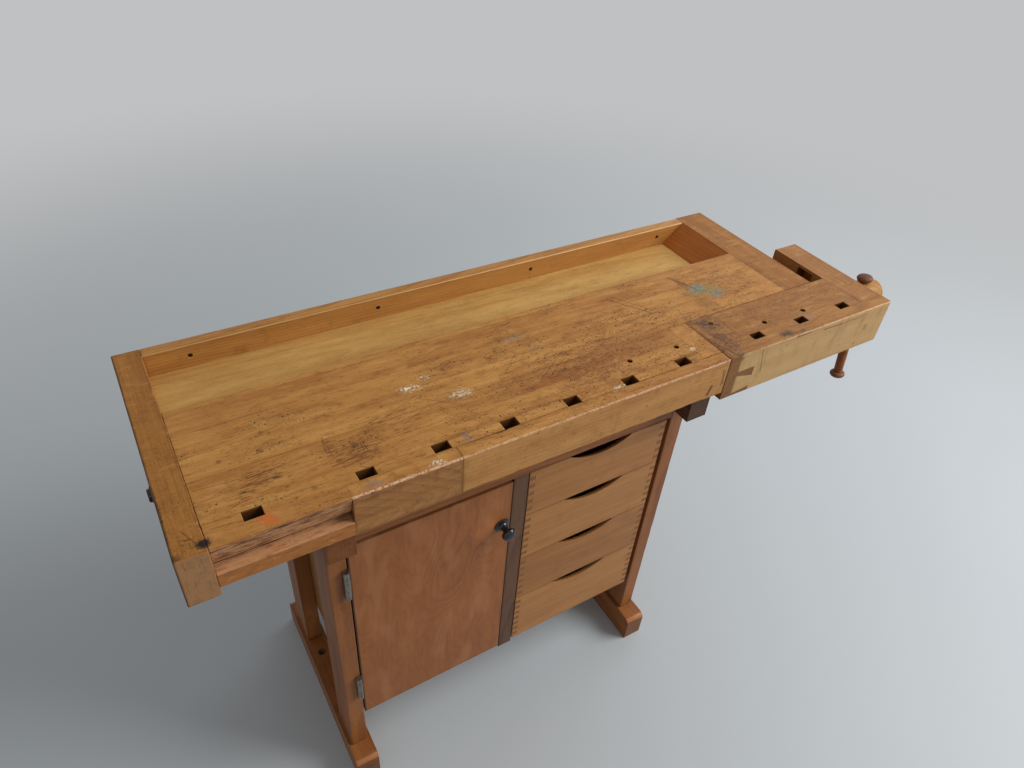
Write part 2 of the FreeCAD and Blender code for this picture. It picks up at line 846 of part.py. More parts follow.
def knuckle_room(spans):
    """Space that the door leaf's knuckles and webs need in the frame leaf."""
    room = []
    for drop, height in spans:
        start = at(hinge_x, hinge_y, drop + height + knuckle_gap)
        tall = height + 2 * knuckle_gap
        room.append(cylinder(start, Vector(0, 0, 1), barrel_radius + touch_gap, tall))
        room.append(block(hinge_x, door_edge(), hinge_y, hinge_y + leaf_web + touch_gap,
                          drop - knuckle_gap, drop + height + knuckle_gap))
    return room


def leaf(way, drop):
    """One hinge leaf: plate in the door gap, web round to the barrel, and its knuckles."""
    frame_spans, door_spans = knuckle_spans(drop)
    spans = frame_spans if way < 0 else door_spans
    low = cabinet_left if way < 0 else door_edge() - leaf_thickness
    plate = block(low, low + leaf_thickness, hinge_y + leaf_web, panel_front,
                  drop, drop + hinge_height)
    heads = [cylinder(at(leaf_face(way), y, place), Vector(way, 0, 0),
                      hinge_screw_head_radius + bolt_gap, leaf_thickness)
             for y, place in hinge_screw_places()]
    room = knuckle_room(door_spans) if way < 0 else []
    pieces = []
    for span_drop, height in spans:
        pieces.append(barrel(span_drop, height))
        pieces.append(block(hinge_x + barrel_radius - leaf_web, low + leaf_thickness,
                            hinge_y, hinge_y + leaf_web, span_drop, span_drop + height))
    gap = 0 if way < 0 else running_gap
    whole = plate.cut(heads + room).fuse(pieces).removeSplitter()
    return whole.cut(pin_bore(drop, hinge_height, gap))


def make_hinges():
    frame_parts = [leaf(-1, drop) for drop in hinge_drops] + hinge_screws(-1)
    save("hinge_frame_leaves", *frame_parts)
    door_parts = [leaf(1, drop) for drop in hinge_drops] + hinge_screws(1)
    save("hinge_door_leaves", *door_parts)
    save("hinge_pins", *[pin_bore(drop, hinge_height, 0) for drop in hinge_drops])


def door_knob_centre():
    return at(divider_start - door_free_gap - door_knob_inset, cabinet_face,
              door_drop + door_knob_drop)


def make_door():
    panel = block(door_edge(), divider_start - door_free_gap, cabinet_face, panel_front,
                  door_drop, door_drop + door_height)
    save("door_panel", panel.cut(hinge_screw_holes(1)))
    neck_end = door_knob_length - door_knob_head
    neck = door_knob_neck_radius
    head = door_knob_head_radius
    profile = [(0, 0), (0, door_knob_base_radius), (door_knob_base, door_knob_base_radius - 1),
               (door_knob_base * 2, neck), (neck_end, neck), (neck_end + 3, head - 1),
               (neck_end + 6, head), (door_knob_length - 2, head - 2), (door_knob_length, head - 5),
               (door_knob_length, 0)]
    save("door_knob", turned(profile, door_knob_centre(), Vector(0, -1, 0)))


# Drawers

def drawer_levels():
    levels = []
    drop = drawer_top
    for spacing in drawer_spacings:
        levels.append((drop, drop + spacing - drawer_gap))
        drop += spacing
    return levels


def finger_spans(drop0, drop1, first):
    """Depth spans of every second finger of a box joint, starting with finger number first."""
    count = 2 * round((drop1 - drop0) / finger_size / 2) + 1
    size = (drop1 - drop0) / count
    return [(drop0 + size * index, drop0 + size * (index + 1)) for index in range(first, count, 2)]


def scoop(drop):
    """Round finger cut in the upper edge of a drawer front, sloping down towards the inside."""
    radius = (scoop_width ** 2 / 4 + scoop_depth ** 2) / (2 * scoop_depth)
    middle = (drawer_left + drawer_right) / 2
    centre = at(middle, cabinet_face, drop + scoop_depth - radius)
    disc = Part.Face(Part.Wire(Part.makeCircle(radius, centre, Vector(0, 1, 0))))
    fall = drawer_front_thickness * math.tan(math.radians(scoop_slope))
    return disc.extrude(Vector(0, drawer_front_thickness, -fall))


def bottom_panel(drop1):
    low = drawer_left + drawer_side_thickness - drawer_bottom_let_in
    high = drawer_right - drawer_side_thickness + drawer_bottom_let_in
    under = drop1 - drawer_bottom_rise
    return block(low, high, cabinet_face + drawer_front_thickness - drawer_bottom_let_in,
                 drawer_rear, under - drawer_bottom_thickness, under)


def runner_middle(drop0, drop1):
    return (drop0 + drop1) / 2


def runner_groove(edge, way, drop0, drop1):
    """Groove in the outer face of a drawer side; way points into the side."""
    middle = runner_middle(drop0, drop1)
    half = runner_strip_height / 2 + runner_groove_gap
    inner = edge + way * runner_groove_depth
    return block(min(edge, inner), max(edge, inner), cabinet_face + runner_groove_start,
                 drawer_rear, middle - half, middle + half)


def drawer_side(edge, way, drop0, drop1):
    inner = edge + way * drawer_side_thickness
    low = min(edge, inner)
    high = max(edge, inner)
    side = block(low, high, cabinet_face, drawer_rear, drop0, drop1)
    cuts = [block(low, high, cabinet_face, cabinet_face + drawer_front_thickness, top, bottom)
            for top, bottom in finger_spans(drop0, drop1, 0)]
    cuts += [bottom_panel(drop1), runner_groove(edge, way, drop0, drop1)]
    return side.cut(cuts)


def make_drawer(number, drop0, drop1):
    name = "drawer_" + str(number)
    front = block(drawer_left, drawer_right, cabinet_face, cabinet_face + drawer_front_thickness,
                  drop0, drop1)
    ends = ((drawer_left, drawer_left + drawer_side_thickness),
            (drawer_right - drawer_side_thickness, drawer_right))
    cuts = [block(low, high, cabinet_face, cabinet_face + drawer_front_thickness, top, bottom)
            for low, high in ends for top, bottom in finger_spans(drop0, drop1, 1)]
    save(name + "_front", front.cut(cuts + [scoop(drop0), bottom_panel(drop1)]))
    floor_drop = drop1 - drawer_bottom_rise - drawer_bottom_thickness
    back = block(drawer_left + drawer_side_thickness, drawer_right - drawer_side_thickness,
                 drawer_rear - drawer_back_thickness, drawer_rear, drop0, floor_drop)
    left = drawer_side(drawer_left, 1, drop0, drop1)
    right = drawer_side(drawer_right, -1, drop0, drop1)
    save(name + "_box", left, right, back)
    save(name + "_bottom", bottom_panel(drop1))


def make_drawers():
    strips = []
    for number, (drop0, drop1) in enumerate(drawer_levels(), 1):
        make_drawer(number, drop0, drop1)
        middle = runner_middle(drop0, drop1)
        top = middle - runner_strip_height / 2
        bottom = middle + runner_strip_height / 2
        front = cabinet_face + runner_strip_setback
        strips.append(block(divider_end, drawer_left + runner_strip_let_in, front, panel_rear,
                            top, bottom))
        strips.append(block(drawer_right - runner_strip_let_in, cabinet_right - side_panel, front,
                            panel_rear, top, bottom))
    save("drawer_runners", *strips)


make_end_caps()
make_front_strips()
make_vise_seat()
make_boards()
make_tray()
make_notch_rail()
make_nut_block()
make_vise_jaw()
make_vise_body()
make_vise_guides()
make_screw()
make_handle()
make_trestles()
make_cabinet()
make_hinges()
make_door()
make_drawers()
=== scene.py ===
import json
import math
from functools import partial

import bpy
import numpy as np
from mathutils import Matrix, Vector

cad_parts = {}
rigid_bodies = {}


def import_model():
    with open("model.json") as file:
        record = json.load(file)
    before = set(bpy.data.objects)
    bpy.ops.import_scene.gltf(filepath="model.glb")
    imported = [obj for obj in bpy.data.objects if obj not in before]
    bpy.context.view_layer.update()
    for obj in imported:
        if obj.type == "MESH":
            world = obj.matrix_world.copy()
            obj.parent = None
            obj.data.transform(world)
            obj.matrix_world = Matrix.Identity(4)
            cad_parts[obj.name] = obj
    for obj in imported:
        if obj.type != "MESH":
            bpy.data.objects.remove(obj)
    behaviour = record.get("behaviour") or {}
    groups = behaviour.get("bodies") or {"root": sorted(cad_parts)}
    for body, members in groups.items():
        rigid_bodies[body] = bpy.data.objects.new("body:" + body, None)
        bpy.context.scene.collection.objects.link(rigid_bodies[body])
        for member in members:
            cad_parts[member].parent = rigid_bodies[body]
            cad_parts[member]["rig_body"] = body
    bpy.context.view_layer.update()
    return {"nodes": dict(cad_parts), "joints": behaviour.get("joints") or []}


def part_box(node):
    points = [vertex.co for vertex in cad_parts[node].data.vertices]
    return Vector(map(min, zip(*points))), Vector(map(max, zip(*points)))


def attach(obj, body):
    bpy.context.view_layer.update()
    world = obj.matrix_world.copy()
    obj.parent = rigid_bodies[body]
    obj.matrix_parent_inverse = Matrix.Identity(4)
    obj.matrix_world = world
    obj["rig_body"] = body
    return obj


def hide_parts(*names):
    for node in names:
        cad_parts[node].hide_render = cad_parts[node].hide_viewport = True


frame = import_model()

bl_info = {
    "name": "Joiner's workbench",
    "version": (1, 0, 0),
    "blender": (4, 5, 0),
    "location": "3D View > Sidebar > Workbench",
    "description": "Worn beech workbench with a tail vise, a cupboard and four drawers",
    "category": "Add Mesh",
}

# Places are in millimetres: x from the left end of the top, y from its front face, z up from the
# work surface. Meshes are in metres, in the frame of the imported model.

MM = 0.001
CAP_LOW, CAP_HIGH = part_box("left_end_cap")
CORNER = Vector((CAP_LOW.x, CAP_LOW.y, CAP_HIGH.z))
ALONG_X, ALONG_Y, ALONG_Z = range(3)
ENDLESS = math.inf


def srgb(red, green, blue):
    """Linear colour of three screen values from 0 to 255: the screen's power curve, inverted."""
    shares = [value / 255 for value in (red, green, blue)]
    return tuple(s / 12.92 if s <= 0.04045 else ((s + 0.055) / 1.055) ** 2.4 for s in shares)


def darker(colour, share):
    return tuple(value * share for value in colour)


def span(node):
    """Lowest and highest corner of a CAD node, in millimetres from the corner of the top."""
    low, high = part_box(node)
    return np.array(low - CORNER) / MM, np.array(high - CORNER) / MM


# Colours and sizes that a user may change

# Each wood is its label, its light early wood and its dark late wood.
WOODS = {
    "top_beech": ("Beech of the top", (192, 139, 73), (148, 91, 38)),
    "tray_beech": ("Beech of the tray", (203, 162, 94), (164, 115, 57)),
    "cap_beech": ("Beech of the end caps", (174, 120, 56), (124, 73, 30)),
    "strip_beech": ("Pale beech of the front", (192, 142, 82), (149, 97, 48)),
    "pale_beech": ("Yellow beech of the vise front", (196, 162, 110), (158, 116, 68)),
    "insert_beech": ("Reddish beech of the front", (172, 122, 70), (122, 76, 40)),
    "seat_beech": ("Worn beech of the vise seat", (172, 112, 66), (122, 68, 36)),
    "pine": ("Orange pine", (192, 138, 72), (137, 82, 34)),
    "ramp_pine": ("Dark pine of the ramp", (186, 108, 37), (129, 66, 18)),
    "jaw_beech": ("Greasy beech of the jaws", (166, 118, 64), (112, 68, 34)),
    "vise_beech": ("Beech of the vise", (170, 119, 62), (126, 77, 34)),
    "arm_beech": ("Beech of the vise arm", (172, 122, 66), (124, 74, 36)),
    "frame_beech": ("Stained beech of the trestles", (156, 98, 50), (106, 58, 27)),
    "divider_wood": ("Dark wood of the divider", (108, 74, 50), (64, 38, 26)),
    "door_veneer": ("Reddish veneer of the door", (160, 99, 50), (122, 69, 32)),
    "drawer_beech": ("Golden beech of the drawers", (178, 124, 66), (138, 86, 40)),
    "plain_ply": ("Plain plywood", (158, 110, 62), (118, 74, 38)),
    "hub_wood": ("Yellow wood of the hub", (172, 124, 60), (134, 86, 36)),
    "knob_wood": ("Dull wood of the handle's knobs", (140, 92, 68), (84, 54, 40)),
    "handle_wood": ("Reddish wood of the handle", (156, 90, 50), (94, 50, 28)),
}
HARD_COLOURS = {
    "steel": ("Steel", "Zinc-plated hinges and screws", (136, 131, 122)),
    "old_iron": ("Old iron", "Darkened bolts and screw heads", (70, 64, 60)),
    "black_plastic": ("Black plastic", "Knob of the cupboard door", (26, 27, 30)),
}


def colour_property(label, description, colour):
    return bpy.props.FloatVectorProperty(name=label, description=description,
                                         default=srgb(*colour), size=3, min=0, max=1,
                                         subtype="COLOR")


def colour_properties():
    """Two colours for each wood, and one for each metal and for the plastic."""
    found = {key: colour_property(*row) for key, row in HARD_COLOURS.items()}
    for key, (label, light, dark) in WOODS.items():
        for part, colour in (("light", light), ("dark", dark)):
            found[key + "_" + part] = colour_property(
                label + ", " + part, label + ": its " + part + " part", colour)
    return found


class WorkbenchColours(bpy.types.PropertyGroup):
    """Colours of the woods, the metals and the plastic."""

    __annotations__ = colour_properties()


class WorkbenchShape(bpy.types.PropertyGroup):
    """Sizes of the details that the solids don't hold."""

    board_edge: bpy.props.FloatProperty(
        name="Board edge", description="Rounding of the plain board edges in mm",
        default=0.8, min=0.2, max=3)
    worn_edge: bpy.props.FloatProperty(
        name="Worn edge", description="Rounding of the handled edges in mm", default=2.0,
        min=0.5, max=4)
    wear: bpy.props.FloatProperty(
        name="Wear", description="How unevenly the handled edges are worn", default=0.6,
        min=0, max=1, subtype="FACTOR")
    thread_pitch: bpy.props.FloatProperty(
        name="Thread pitch", description="Pitch of the wooden screw in mm", default=8.0,
        min=4, max=12)
    round_sides: bpy.props.IntProperty(
        name="Round sides", description="Facets around a turned piece", default=64,
        min=24, max=128)


class WorkbenchStage(bpy.types.PropertyGroup):
    """Floor, light and camera."""

    floor_colour: colour_property("Floor", "Colour of the floor", (178, 184, 188))
    sky_strength: bpy.props.FloatProperty(
        name="Room light", description="Strength of the even light", default=0.39, min=0, max=2)
    key_power: bpy.props.FloatProperty(
        name="Key light", description="Power of the large soft lamp", default=158,
        min=0, max=1000, unit="POWER")
    window_power: bpy.props.FloatProperty(
        name="Window light", description="Power of the cool lamp at the far right", default=18,
        min=0, max=1000, unit="POWER")
    lens: bpy.props.FloatProperty(
        name="Lens", description="Focal length in mm", default=26.187, min=10, max=200)


# Shader values

class Wire:
    """A socket that carries a value. Sums, products and powers of wires add Math nodes."""

    def __init__(self, nodes, socket):
        self.nodes = nodes
        self.socket = socket

    def math(self, operation, first, second=0.0, clamp=False):
        settings = {"operation": operation, "use_clamp": clamp}
        return self.nodes.add("ShaderNodeMath", settings, {0: first, 1: second})

    def __add__(self, other):
        return self.math("ADD", self, other)

    __radd__ = __add__

    def __sub__(self, other):
        return self.math("SUBTRACT", self, other)

    def __rsub__(self, other):
        return self.math("SUBTRACT", other, self)

    def __mul__(self, other):
        return self.math("MULTIPLY", self, other)

    __rmul__ = __mul__

    def __truediv__(self, other):
        return self.math("DIVIDE", self, other)

    def __pow__(self, other):
        return self.math("POWER", self, other)

    def __abs__(self):
        return self.math("ABSOLUTE", self)

    def floor(self):
        return self.math("FLOOR", self)

    def fraction(self):
        return self.math("FRACT", self)

    def clamp(self):
        return self.math("ADD", self, 0.0, clamp=True)

    def least(self, other):
        return self.math("MINIMUM", self, other)

    def most(self, other):
        return self.math("MAXIMUM", self, other)

    def ease(self, start, end):
        """0 before start and 1 after end, with a smooth step between; start may be the larger."""
        low, high, first, last = (start, end, 0.0, 1.0) if start < end else (end, start, 1.0, 0.0)
        return self.nodes.add("ShaderNodeMapRange", {"interpolation_type": "SMOOTHSTEP"},
                              {0: self, 1: low, 2: high, 3: first, 4: last})


class Nodes:
    """Adds nodes to the tree of a material or of the world."""

    def __init__(self, tree):
        self.tree = tree

    def add(self, kind, settings=None, inputs=None, output=0):
        """Adds a node: its settings first, then its sockets' values or links."""
        node = self.tree.nodes.new(kind)
        for key, value in (settings or {}).items():
            setattr(node, key, value)
        for key, value in (inputs or {}).items():
            if isinstance(value, Wire):
                self.tree.links.new(value.socket, node.inputs[key])
            else:
                node.inputs[key].default_value = value
        return Wire(self, node.outputs[output]) if node.outputs else node

    def seen(self):
        """1 for a ray from the camera, and for its reflections and what shines through; 0 for
        the rays that carry light."""
        rays = [self.add("ShaderNodeLightPath", output="Is %s Ray" % kind)
                for kind in ("Camera", "Glossy", "Transmission")]
        return rays[0].most(rays[1]).most(rays[2])


class Paint(Nodes):
    """Builds one material. Its colour, its height in millimetres and its rough are the surface
    so far, spot and axes are the place from the corner of the top, and facing is the normal."""

    def __init__(self, name):
        self.material = bpy.data.materials.new(name)
        self.material.use_nodes = True
        super().__init__(self.material.node_tree)
        self.shader = self.tree.nodes["Principled BSDF"]
        self.place = self.add("ShaderNodeTexCoord", output="Object")
        self.spot = self.vector("MULTIPLY", self.vector("SUBTRACT", self.place, tuple(CORNER)),
                                (1 / MM,) * 3)
        self.axes = self.parts(self.spot)
        self.facing = self.parts(self.add("ShaderNodeTexCoord", output="Normal"))
        self.colour, self.rough, self.height = None, 0.5, None

    def vector(self, operation, first, second=(0, 0, 0), output=0):
        return self.add("ShaderNodeVectorMath", {"operation": operation}, {0: first, 1: second},
                        output)

    def size(self, vector):
        return self.vector("LENGTH", vector, output=1)

    def parts(self, vector):
        first = self.add("ShaderNodeSeparateXYZ", None, {0: vector})
        return [Wire(self, socket) for socket in first.socket.node.outputs]

    def join(self, x, y, z):
        return self.add("ShaderNodeCombineXYZ", None, {0: x, 1: y, 2: z})

    def mix(self, share, first, second):
        colours = [value if isinstance(value, Wire) else (*value, 1) for value in (first, second)]
        return self.add("ShaderNodeMix", {"data_type": "RGBA"},
                        {0: share, 6: colours[0], 7: colours[1]}, 2)

    def tint(self, share, shade):
        """Covers a share of the surface so far with another colour."""
        self.colour = self.mix(share, self.colour, shade)

    def noise(self, vector, scale=1.0, detail=2.0, roughness=0.5, output=0):
        return self.add("ShaderNodeTexNoise", None,
                        {"Vector": vector, "Scale": scale, "Detail": detail,
                         "Roughness": roughness}, output)

    def lumps(self, size, detail, roughness=0.5, output=0):
        """Noise with lumps of a size in millimetres."""
        return self.noise(self.spot, 1 / size, detail, roughness, output)

    def grain(self, sizes, detail, roughness=0.5):
        """Noise with lumps that have their own size in millimetres on each axis."""
        return self.noise(self.vector("MULTIPLY", self.spot, tuple(1 / size for size in sizes)),
                          detail=detail, roughness=roughness)

    def cells(self, size, dimensions="2D"):
        """Distance from the nearest of many scattered points, a size in millimetres apart."""
        return self.add("ShaderNodeTexVoronoi", {"voronoi_dimensions": dimensions},
                        {"Vector": self.spot, "Scale": 1 / size})

    def away(self, middle, reach):
        """Offset from a middle, measured in the reach of each axis; endless leaves an axis out."""
        return self.vector("MULTIPLY", self.vector("SUBTRACT", self.spot, middle),
                           tuple(1 / part for part in reach))

    def edges(self):
        """1 on rounded edges and 0 on flat faces: how far the normal is from all three axes."""
        x, y, z = [abs(part) for part in self.facing]
        return x.most(y).most(z).ease(0.992, 0.86)

    def finish(self, depth=0.0, **constants):
        """Sets the shader from the surface so far, with a bump where depth isn't 0. Constants are
        named after the sockets."""
        values = {"Base Color": self.colour, "Roughness": self.rough}
        values.update({key.replace("_", " "): value for key, value in constants.items()})
        if depth:
            values["Normal"] = self.add("ShaderNodeBump", None, {
                "Strength": depth, "Distance": MM, "Height": self.height})
        for key, value in values.items():
            socket = self.shader.inputs[key]
            if isinstance(value, Wire):
                self.tree.links.new(value.socket, socket)
            else:
                socket.default_value = (*value, 1) if isinstance(value, tuple) else value
        return self.material


def chosen_colour(key):
    return tuple(getattr(bpy.context.scene.workbench_colours, key))


def wood_material(name, wood, grain, low, high, heart=(0, 60), ring=6.0, figure=0.35, fibre=0.5,
                  fleck=0.35, taper=0.02, sway=18.0, tone=0.5, seed=0.0, staves=None, worn=0.3,
                  grime=0.35, border=0.5, rough=0.5, coat=0.0, marks=None, end_grain=0.35,
                  top_wood=None, pit=0.0, edge_shade=None, shade=0.0):
    """Sawn wood. Growth rings are the fraction of the distance from the pith over the ring width;
    taper and a slow sway along the grain draw the arches. Fibres and flecks are noise that is
    stretched along the grain. Edges are painted pale, partly as wear and partly as a painted
    highlight where rounded edges catch light; corners and borders gather grime. Faces a few mm
    under the work surface, such as the walls of the dog holes, can be darkened almost to black
    as painted shade. Heart is the pith's place from the middle of the board, ring is the width of
    a ring, and staves are the axis, start and width of glued strips."""
    paint = Paint(name)
    light, dark = chosen_colour(wood + "_light"), chosen_colour(wood + "_dark")
    side, up = (grain + 1) % 3, (grain + 2) % 3
    middle = (low + high) / 2
    along, across, deep = paint.axes[grain] + seed * 37.0, paint.axes[side], paint.axes[up]
    stave_tone = 0.0
    if staves:
        stave_axis, first, width = staves
        place = (paint.axes[stave_axis] - first) / width
        chance = paint.add("ShaderNodeTexWhiteNoise", {"noise_dimensions": "1D"},
                           {"W": place.floor() + seed})
        along = along + chance * 900.0
        across = across + (chance - 0.5) * 90.0
        stave_tone = (chance - 0.5) * 0.22
        joint = abs(place.fraction() - 0.5).ease(0.5 - 0.45 / width, 0.5 - 0.1 / width)
    across = across - (middle[side] + heart[0])
    deep = deep - (middle[up] - heart[1])

    def stretched(length, thickness, detail, roughness=0.5):
        lumps = paint.join(along / length, across / thickness, deep / thickness)
        return paint.noise(lumps, detail=detail, roughness=roughness)

    swing = stretched(330.0, 80.0, 1.5) - 0.5
    distance = paint.size(paint.join(across, deep, 0.0))
    late = ((distance + swing * sway + along * taper) / ring).fraction() ** 2.6
    streak = stretched(48.0, 0.9, 3, 0.6)
    drift = stretched(190.0, 24.0, 3)
    specks = stretched(3.4, 0.55, 0).ease(0.64, 0.74)
    end = abs(paint.facing[grain]).ease(0.80, 0.97)
    share = (0.42 + shade + (late - 0.3) * figure * (1 - end * 0.6) + (streak - 0.5) * (1.9 * fibre)
             + (drift - 0.5) * (1.7 * tone) + stave_tone).clamp()
    paint.colour = paint.mix(share, light, dark)
    if top_wood:
        upper = paint.mix(share, chosen_colour(top_wood + "_light"),
                          chosen_colour(top_wood + "_dark"))
        paint.tint(paint.facing[2].ease(0.55, 0.9), upper)
    paint.tint(specks * fleck, darker(dark, 0.62))
    # Painted shade: faces a few mm under the work surface, the walls of the dog holes, darken
    # almost to black with depth, and lose their pale edges.
    shaft_shade = 0.0
    if pit:
        shaft_shade = paint.axes[2].ease(-0.2, -3.5) * pit
        paint.tint(shaft_shade, darker(dark, 0.1))
    pores = paint.noise(paint.join(across / 1.5, deep / 5.5, along / 30.0), detail=4,
                        roughness=0.7)
    paint.tint(end * end_grain, darker(dark, 0.45))
    paint.tint(end * pores.ease(0.5, 0.68) * 0.55, darker(dark, 0.3))
    paint.height = streak * 0.05 + late * 0.02 - specks * 0.05 - end * pores * 0.25
    if staves:
        paint.tint(joint * 0.55, darker(dark, 0.35))
        paint.height = paint.height - joint * 0.25
    dirt = paint.lumps(34.0, 5, 0.62)
    paint.tint(dirt.ease(0.52, 0.78) * grime, darker(dark, 0.55))
    gaps = [(part - low[axis]).least(high[axis] - part) for axis, part in enumerate(paint.axes)]
    smaller, larger = gaps[0].least(gaps[1]), gaps[0].most(gaps[1])
    from_edge = smaller.most(larger.least(gaps[2]))
    rim = (from_edge + (dirt - 0.5) * 7.0).ease(5.0, 0.4)
    paint.tint(rim * border * 0.6, darker(dark, 0.6))
    # Pale rounded edges: partly wear, partly a painted highlight where the edges catch light.
    edge = paint.edges() * (1 - shaft_shade)
    pale = edge_shade or tuple(min(1.25 * value + 0.03, 1) for value in light)
    paint.tint((edge * worn * (0.4 + dirt)).clamp(), pale)
    paint.rough = rough + (streak - 0.5) * 0.16 + dirt * 0.12
    if marks:
        marks(paint, low, high)
    paint.rough = paint.rough.clamp()
    return paint.finish(0.7, Coat_Weight=coat, Coat_Roughness=0.22, Specular_IOR_Level=0.2)


def turned_wood(name, wood, point, grain, seed, rough, coat):
    """Turned wood with its grain along the lathe axis, and no worn edges or borders."""
    reach = 400.0
    return wood_material(name, wood, grain, point - reach, point + reach, heart=(5, -4), ring=3.0,
                         figure=0.5, fibre=0.6, seed=seed, worn=0.0, grime=0.4, border=0.0,
                         rough=rough, coat=coat, end_grain=0.15)


def metal_material(name, colour, rough, metallic):
    """Worn metal: dull patches of noise over the plain colour, with fine scratches, and a painted
    highlight that lightens the rounded edges.
    """
    paint = Paint(name)
    patch = paint.lumps(6, 4, 0.6)
    scratches = paint.lumps(1 / 1.4, 2)
    paint.colour = chosen_colour(colour)
    edge_highlight = tuple(min(value * 1.4, 1) for value in paint.colour)
    paint.tint(patch.ease(0.42, 0.62) * 0.75, darker(paint.colour, 0.4))
    # Painted highlight: the rounded edges are made lighter.
    paint.tint(paint.edges() * 0.5, edge_highlight)
    paint.rough = (rough + (patch - 0.5) * 0.35 + (scratches - 0.5) * 0.12).clamp()
    paint.height = scratches * 0.03 + patch * 0.06
    return paint.finish(0.6, Metallic=metallic)


def plastic_material(name, colour):
    """Glossy moulded plastic with faint scuffs."""
    paint = Paint(name)
    scuff = paint.grain((1 / 0.9, 5, 1 / 0.9), 3, 0.7).ease(0.58, 0.75)
    paint.colour = chosen_colour(colour)
    paint.tint(scuff * 0.3, tuple(value + 0.05 for value in paint.colour))
    paint.rough = (0.16 + scuff * 0.25).clamp()
    paint.height = scuff * 0.02
    return paint.finish(0.5)


# Meshes

def skin(rings):
    """Closed surface through rings of points, an array of (ring, point, 3). Quads join each ring to
    the next, a fan closes each end, and a negative enclosed volume turns every face over."""
    count, sides = rings.shape[:2]
    points = np.vstack([rings.reshape(-1, 3), rings[0].mean(0), rings[-1].mean(0)])
    index = np.arange(count * sides).reshape(count, sides)
    after = np.roll(index, -1, axis=1)
    quads = np.stack([index[:-1], after[:-1], after[1:], index[1:]], -1).reshape(-1, 4)
    first, last = count * sides, count * sides + 1
    start = np.stack([after[0], index[0], np.full(sides, first)], -1)
    finish = np.stack([index[-1], after[-1], np.full(sides, last)], -1)
    halves = np.vstack([quads[:, [0, 1, 2]], quads[:, [0, 2, 3]], start, finish])
    a, b, c = (points[halves[:, corner]] for corner in range(3))
    if np.einsum("ij,ij->i", a, np.cross(b, c)).sum() < 0:
        quads, start, finish = quads[:, ::-1], start[:, ::-1], finish[:, ::-1]
    return points, quads.tolist() + start.tolist() + finish.tolist()


def new_piece(name, skins, node, material, replaces=True):
    """One object from closed skins in millimetres, on the body of a CAD node."""
    points, faces = [], []
    for rings in skins:
        more_points, more_faces = skin(np.asarray(rings, float))
        start = sum(len(group) for group in points)
        points.append(more_points)
        faces += [[start + corner for corner in face] for face in more_faces]
    mesh = bpy.data.meshes.new(name)
    mesh.from_pydata(np.vstack(points) * MM + np.array(CORNER), [], faces)
    mesh.polygons.foreach_set("use_smooth", np.ones(len(faces), bool))
    mesh.set_sharp_from_angle(angle=math.radians(40))
    mesh.materials.append(material)
    mesh.update()
    piece = bpy.data.objects.new(name, mesh)
    bpy.context.scene.collection.objects.link(piece)
    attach(piece, frame["nodes"][node]["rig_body"])
    if replaces:
        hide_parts(node)


def bar(low, high, axis, edge, wear, nicks, seed):
    """Worn board: a rectangle with rounded corners carried along one axis. Each corner's radius is
    the edge size times one plus slow waves, and more at the nicks; at both ends the rectangle draws
    in along a quarter circle."""
    station, draw_in, guard, wave_rates = 6.0, 0.7, 0.6, (0.019, 0.047, 0.11)
    chance = np.random.default_rng(seed)
    length = high[axis] - low[axis]
    angle = np.linspace(0, np.pi / 2, 5)
    ends = edge * (1 - np.cos(angle))
    insets = edge * (1 - np.sin(angle))
    inner = np.linspace(edge, length - edge, max(int(length / station), 2) + 1)[1:-1]
    along = np.concatenate([[0], ends, inner, length - ends[::-1], [length]])
    inset = np.concatenate([[edge + draw_in], insets, np.zeros(len(inner)), insets[::-1],
                            [edge + draw_in]])
    side, up = (axis + 1) % 3, (axis + 2) % 3
    half = np.array([high[side] - low[side], high[up] - low[up]])[None, :] / 2 - inset[:, None]
    radius = np.full((len(along), 4), edge)
    for corner in range(4):
        waves = sum(np.sin(along * rate + phase) for rate, phase in
                    zip(wave_rates, chance.uniform(0, 2 * np.pi, 3)))
        radius[:, corner] *= 1 + wear * 0.3 * waves
        for place, size in zip(chance.uniform(0, length, nicks), chance.uniform(0.4, 1, nicks)):
            depth, reach = 3.2 * wear * size, 3 + 8 * size
            radius[:, corner] += depth * np.exp(-((along - place) / reach) ** 2)
    radius = np.minimum(np.maximum(radius, 0.15), half.min(1)[:, None] - 0.8)
    arcs = []
    for corner, (sx, sy) in enumerate(((1, 1), (-1, 1), (-1, -1), (1, -1))):
        bearing = angle + corner * np.pi / 2
        r = radius[:, corner, None]
        arc = np.stack([sx * (half[:, 0, None] - r) + r * np.cos(bearing),
                        sy * (half[:, 1, None] - r) + r * np.sin(bearing)], -1)
        tangent = guard * np.stack([-np.sin(bearing), np.cos(bearing)], -1)
        arcs += [arc[:, :1] - tangent[0], arc, arc[:, -1:] + tangent[-1]]
    flat = np.concatenate(arcs, 1)
    rings = np.empty(flat.shape[:2] + (3,))
    middle = (low + high) / 2
    rings[..., axis] = low[axis] + along[:, None]
    rings[..., side] = middle[side] + flat[..., 0]
    rings[..., up] = middle[up] + flat[..., 1]
    return rings


def finer(profile, count):
    """Profile with more points, set evenly between its own."""
    profile = np.array(profile, float)
    steps = np.linspace(0, len(profile) - 1, count)
    return np.stack([np.interp(steps, range(len(profile)), part) for part in profile.T], -1)


def lathe(profile, base, axis, sides):
    """Turned piece: each (distance along the axis, radius) becomes a circle around the axis."""
    profile = np.array(profile, float)
    axis = np.array(axis, float) / np.linalg.norm(axis)
    helper = np.array([0, 0, 1.0]) if abs(axis[2]) < 0.9 else np.array([1.0, 0, 0])
    first = np.cross(axis, helper)
    first /= np.linalg.norm(first)
    second = np.cross(axis, first)
    turn = np.linspace(0, 2 * np.pi, sides, endpoint=False)
    circle = np.cos(turn)[:, None] * first + np.sin(turn)[:, None] * second
    return (np.array(base) + profile[:, 0, None, None] * axis
            + profile[:, 1, None, None] * circle[None])


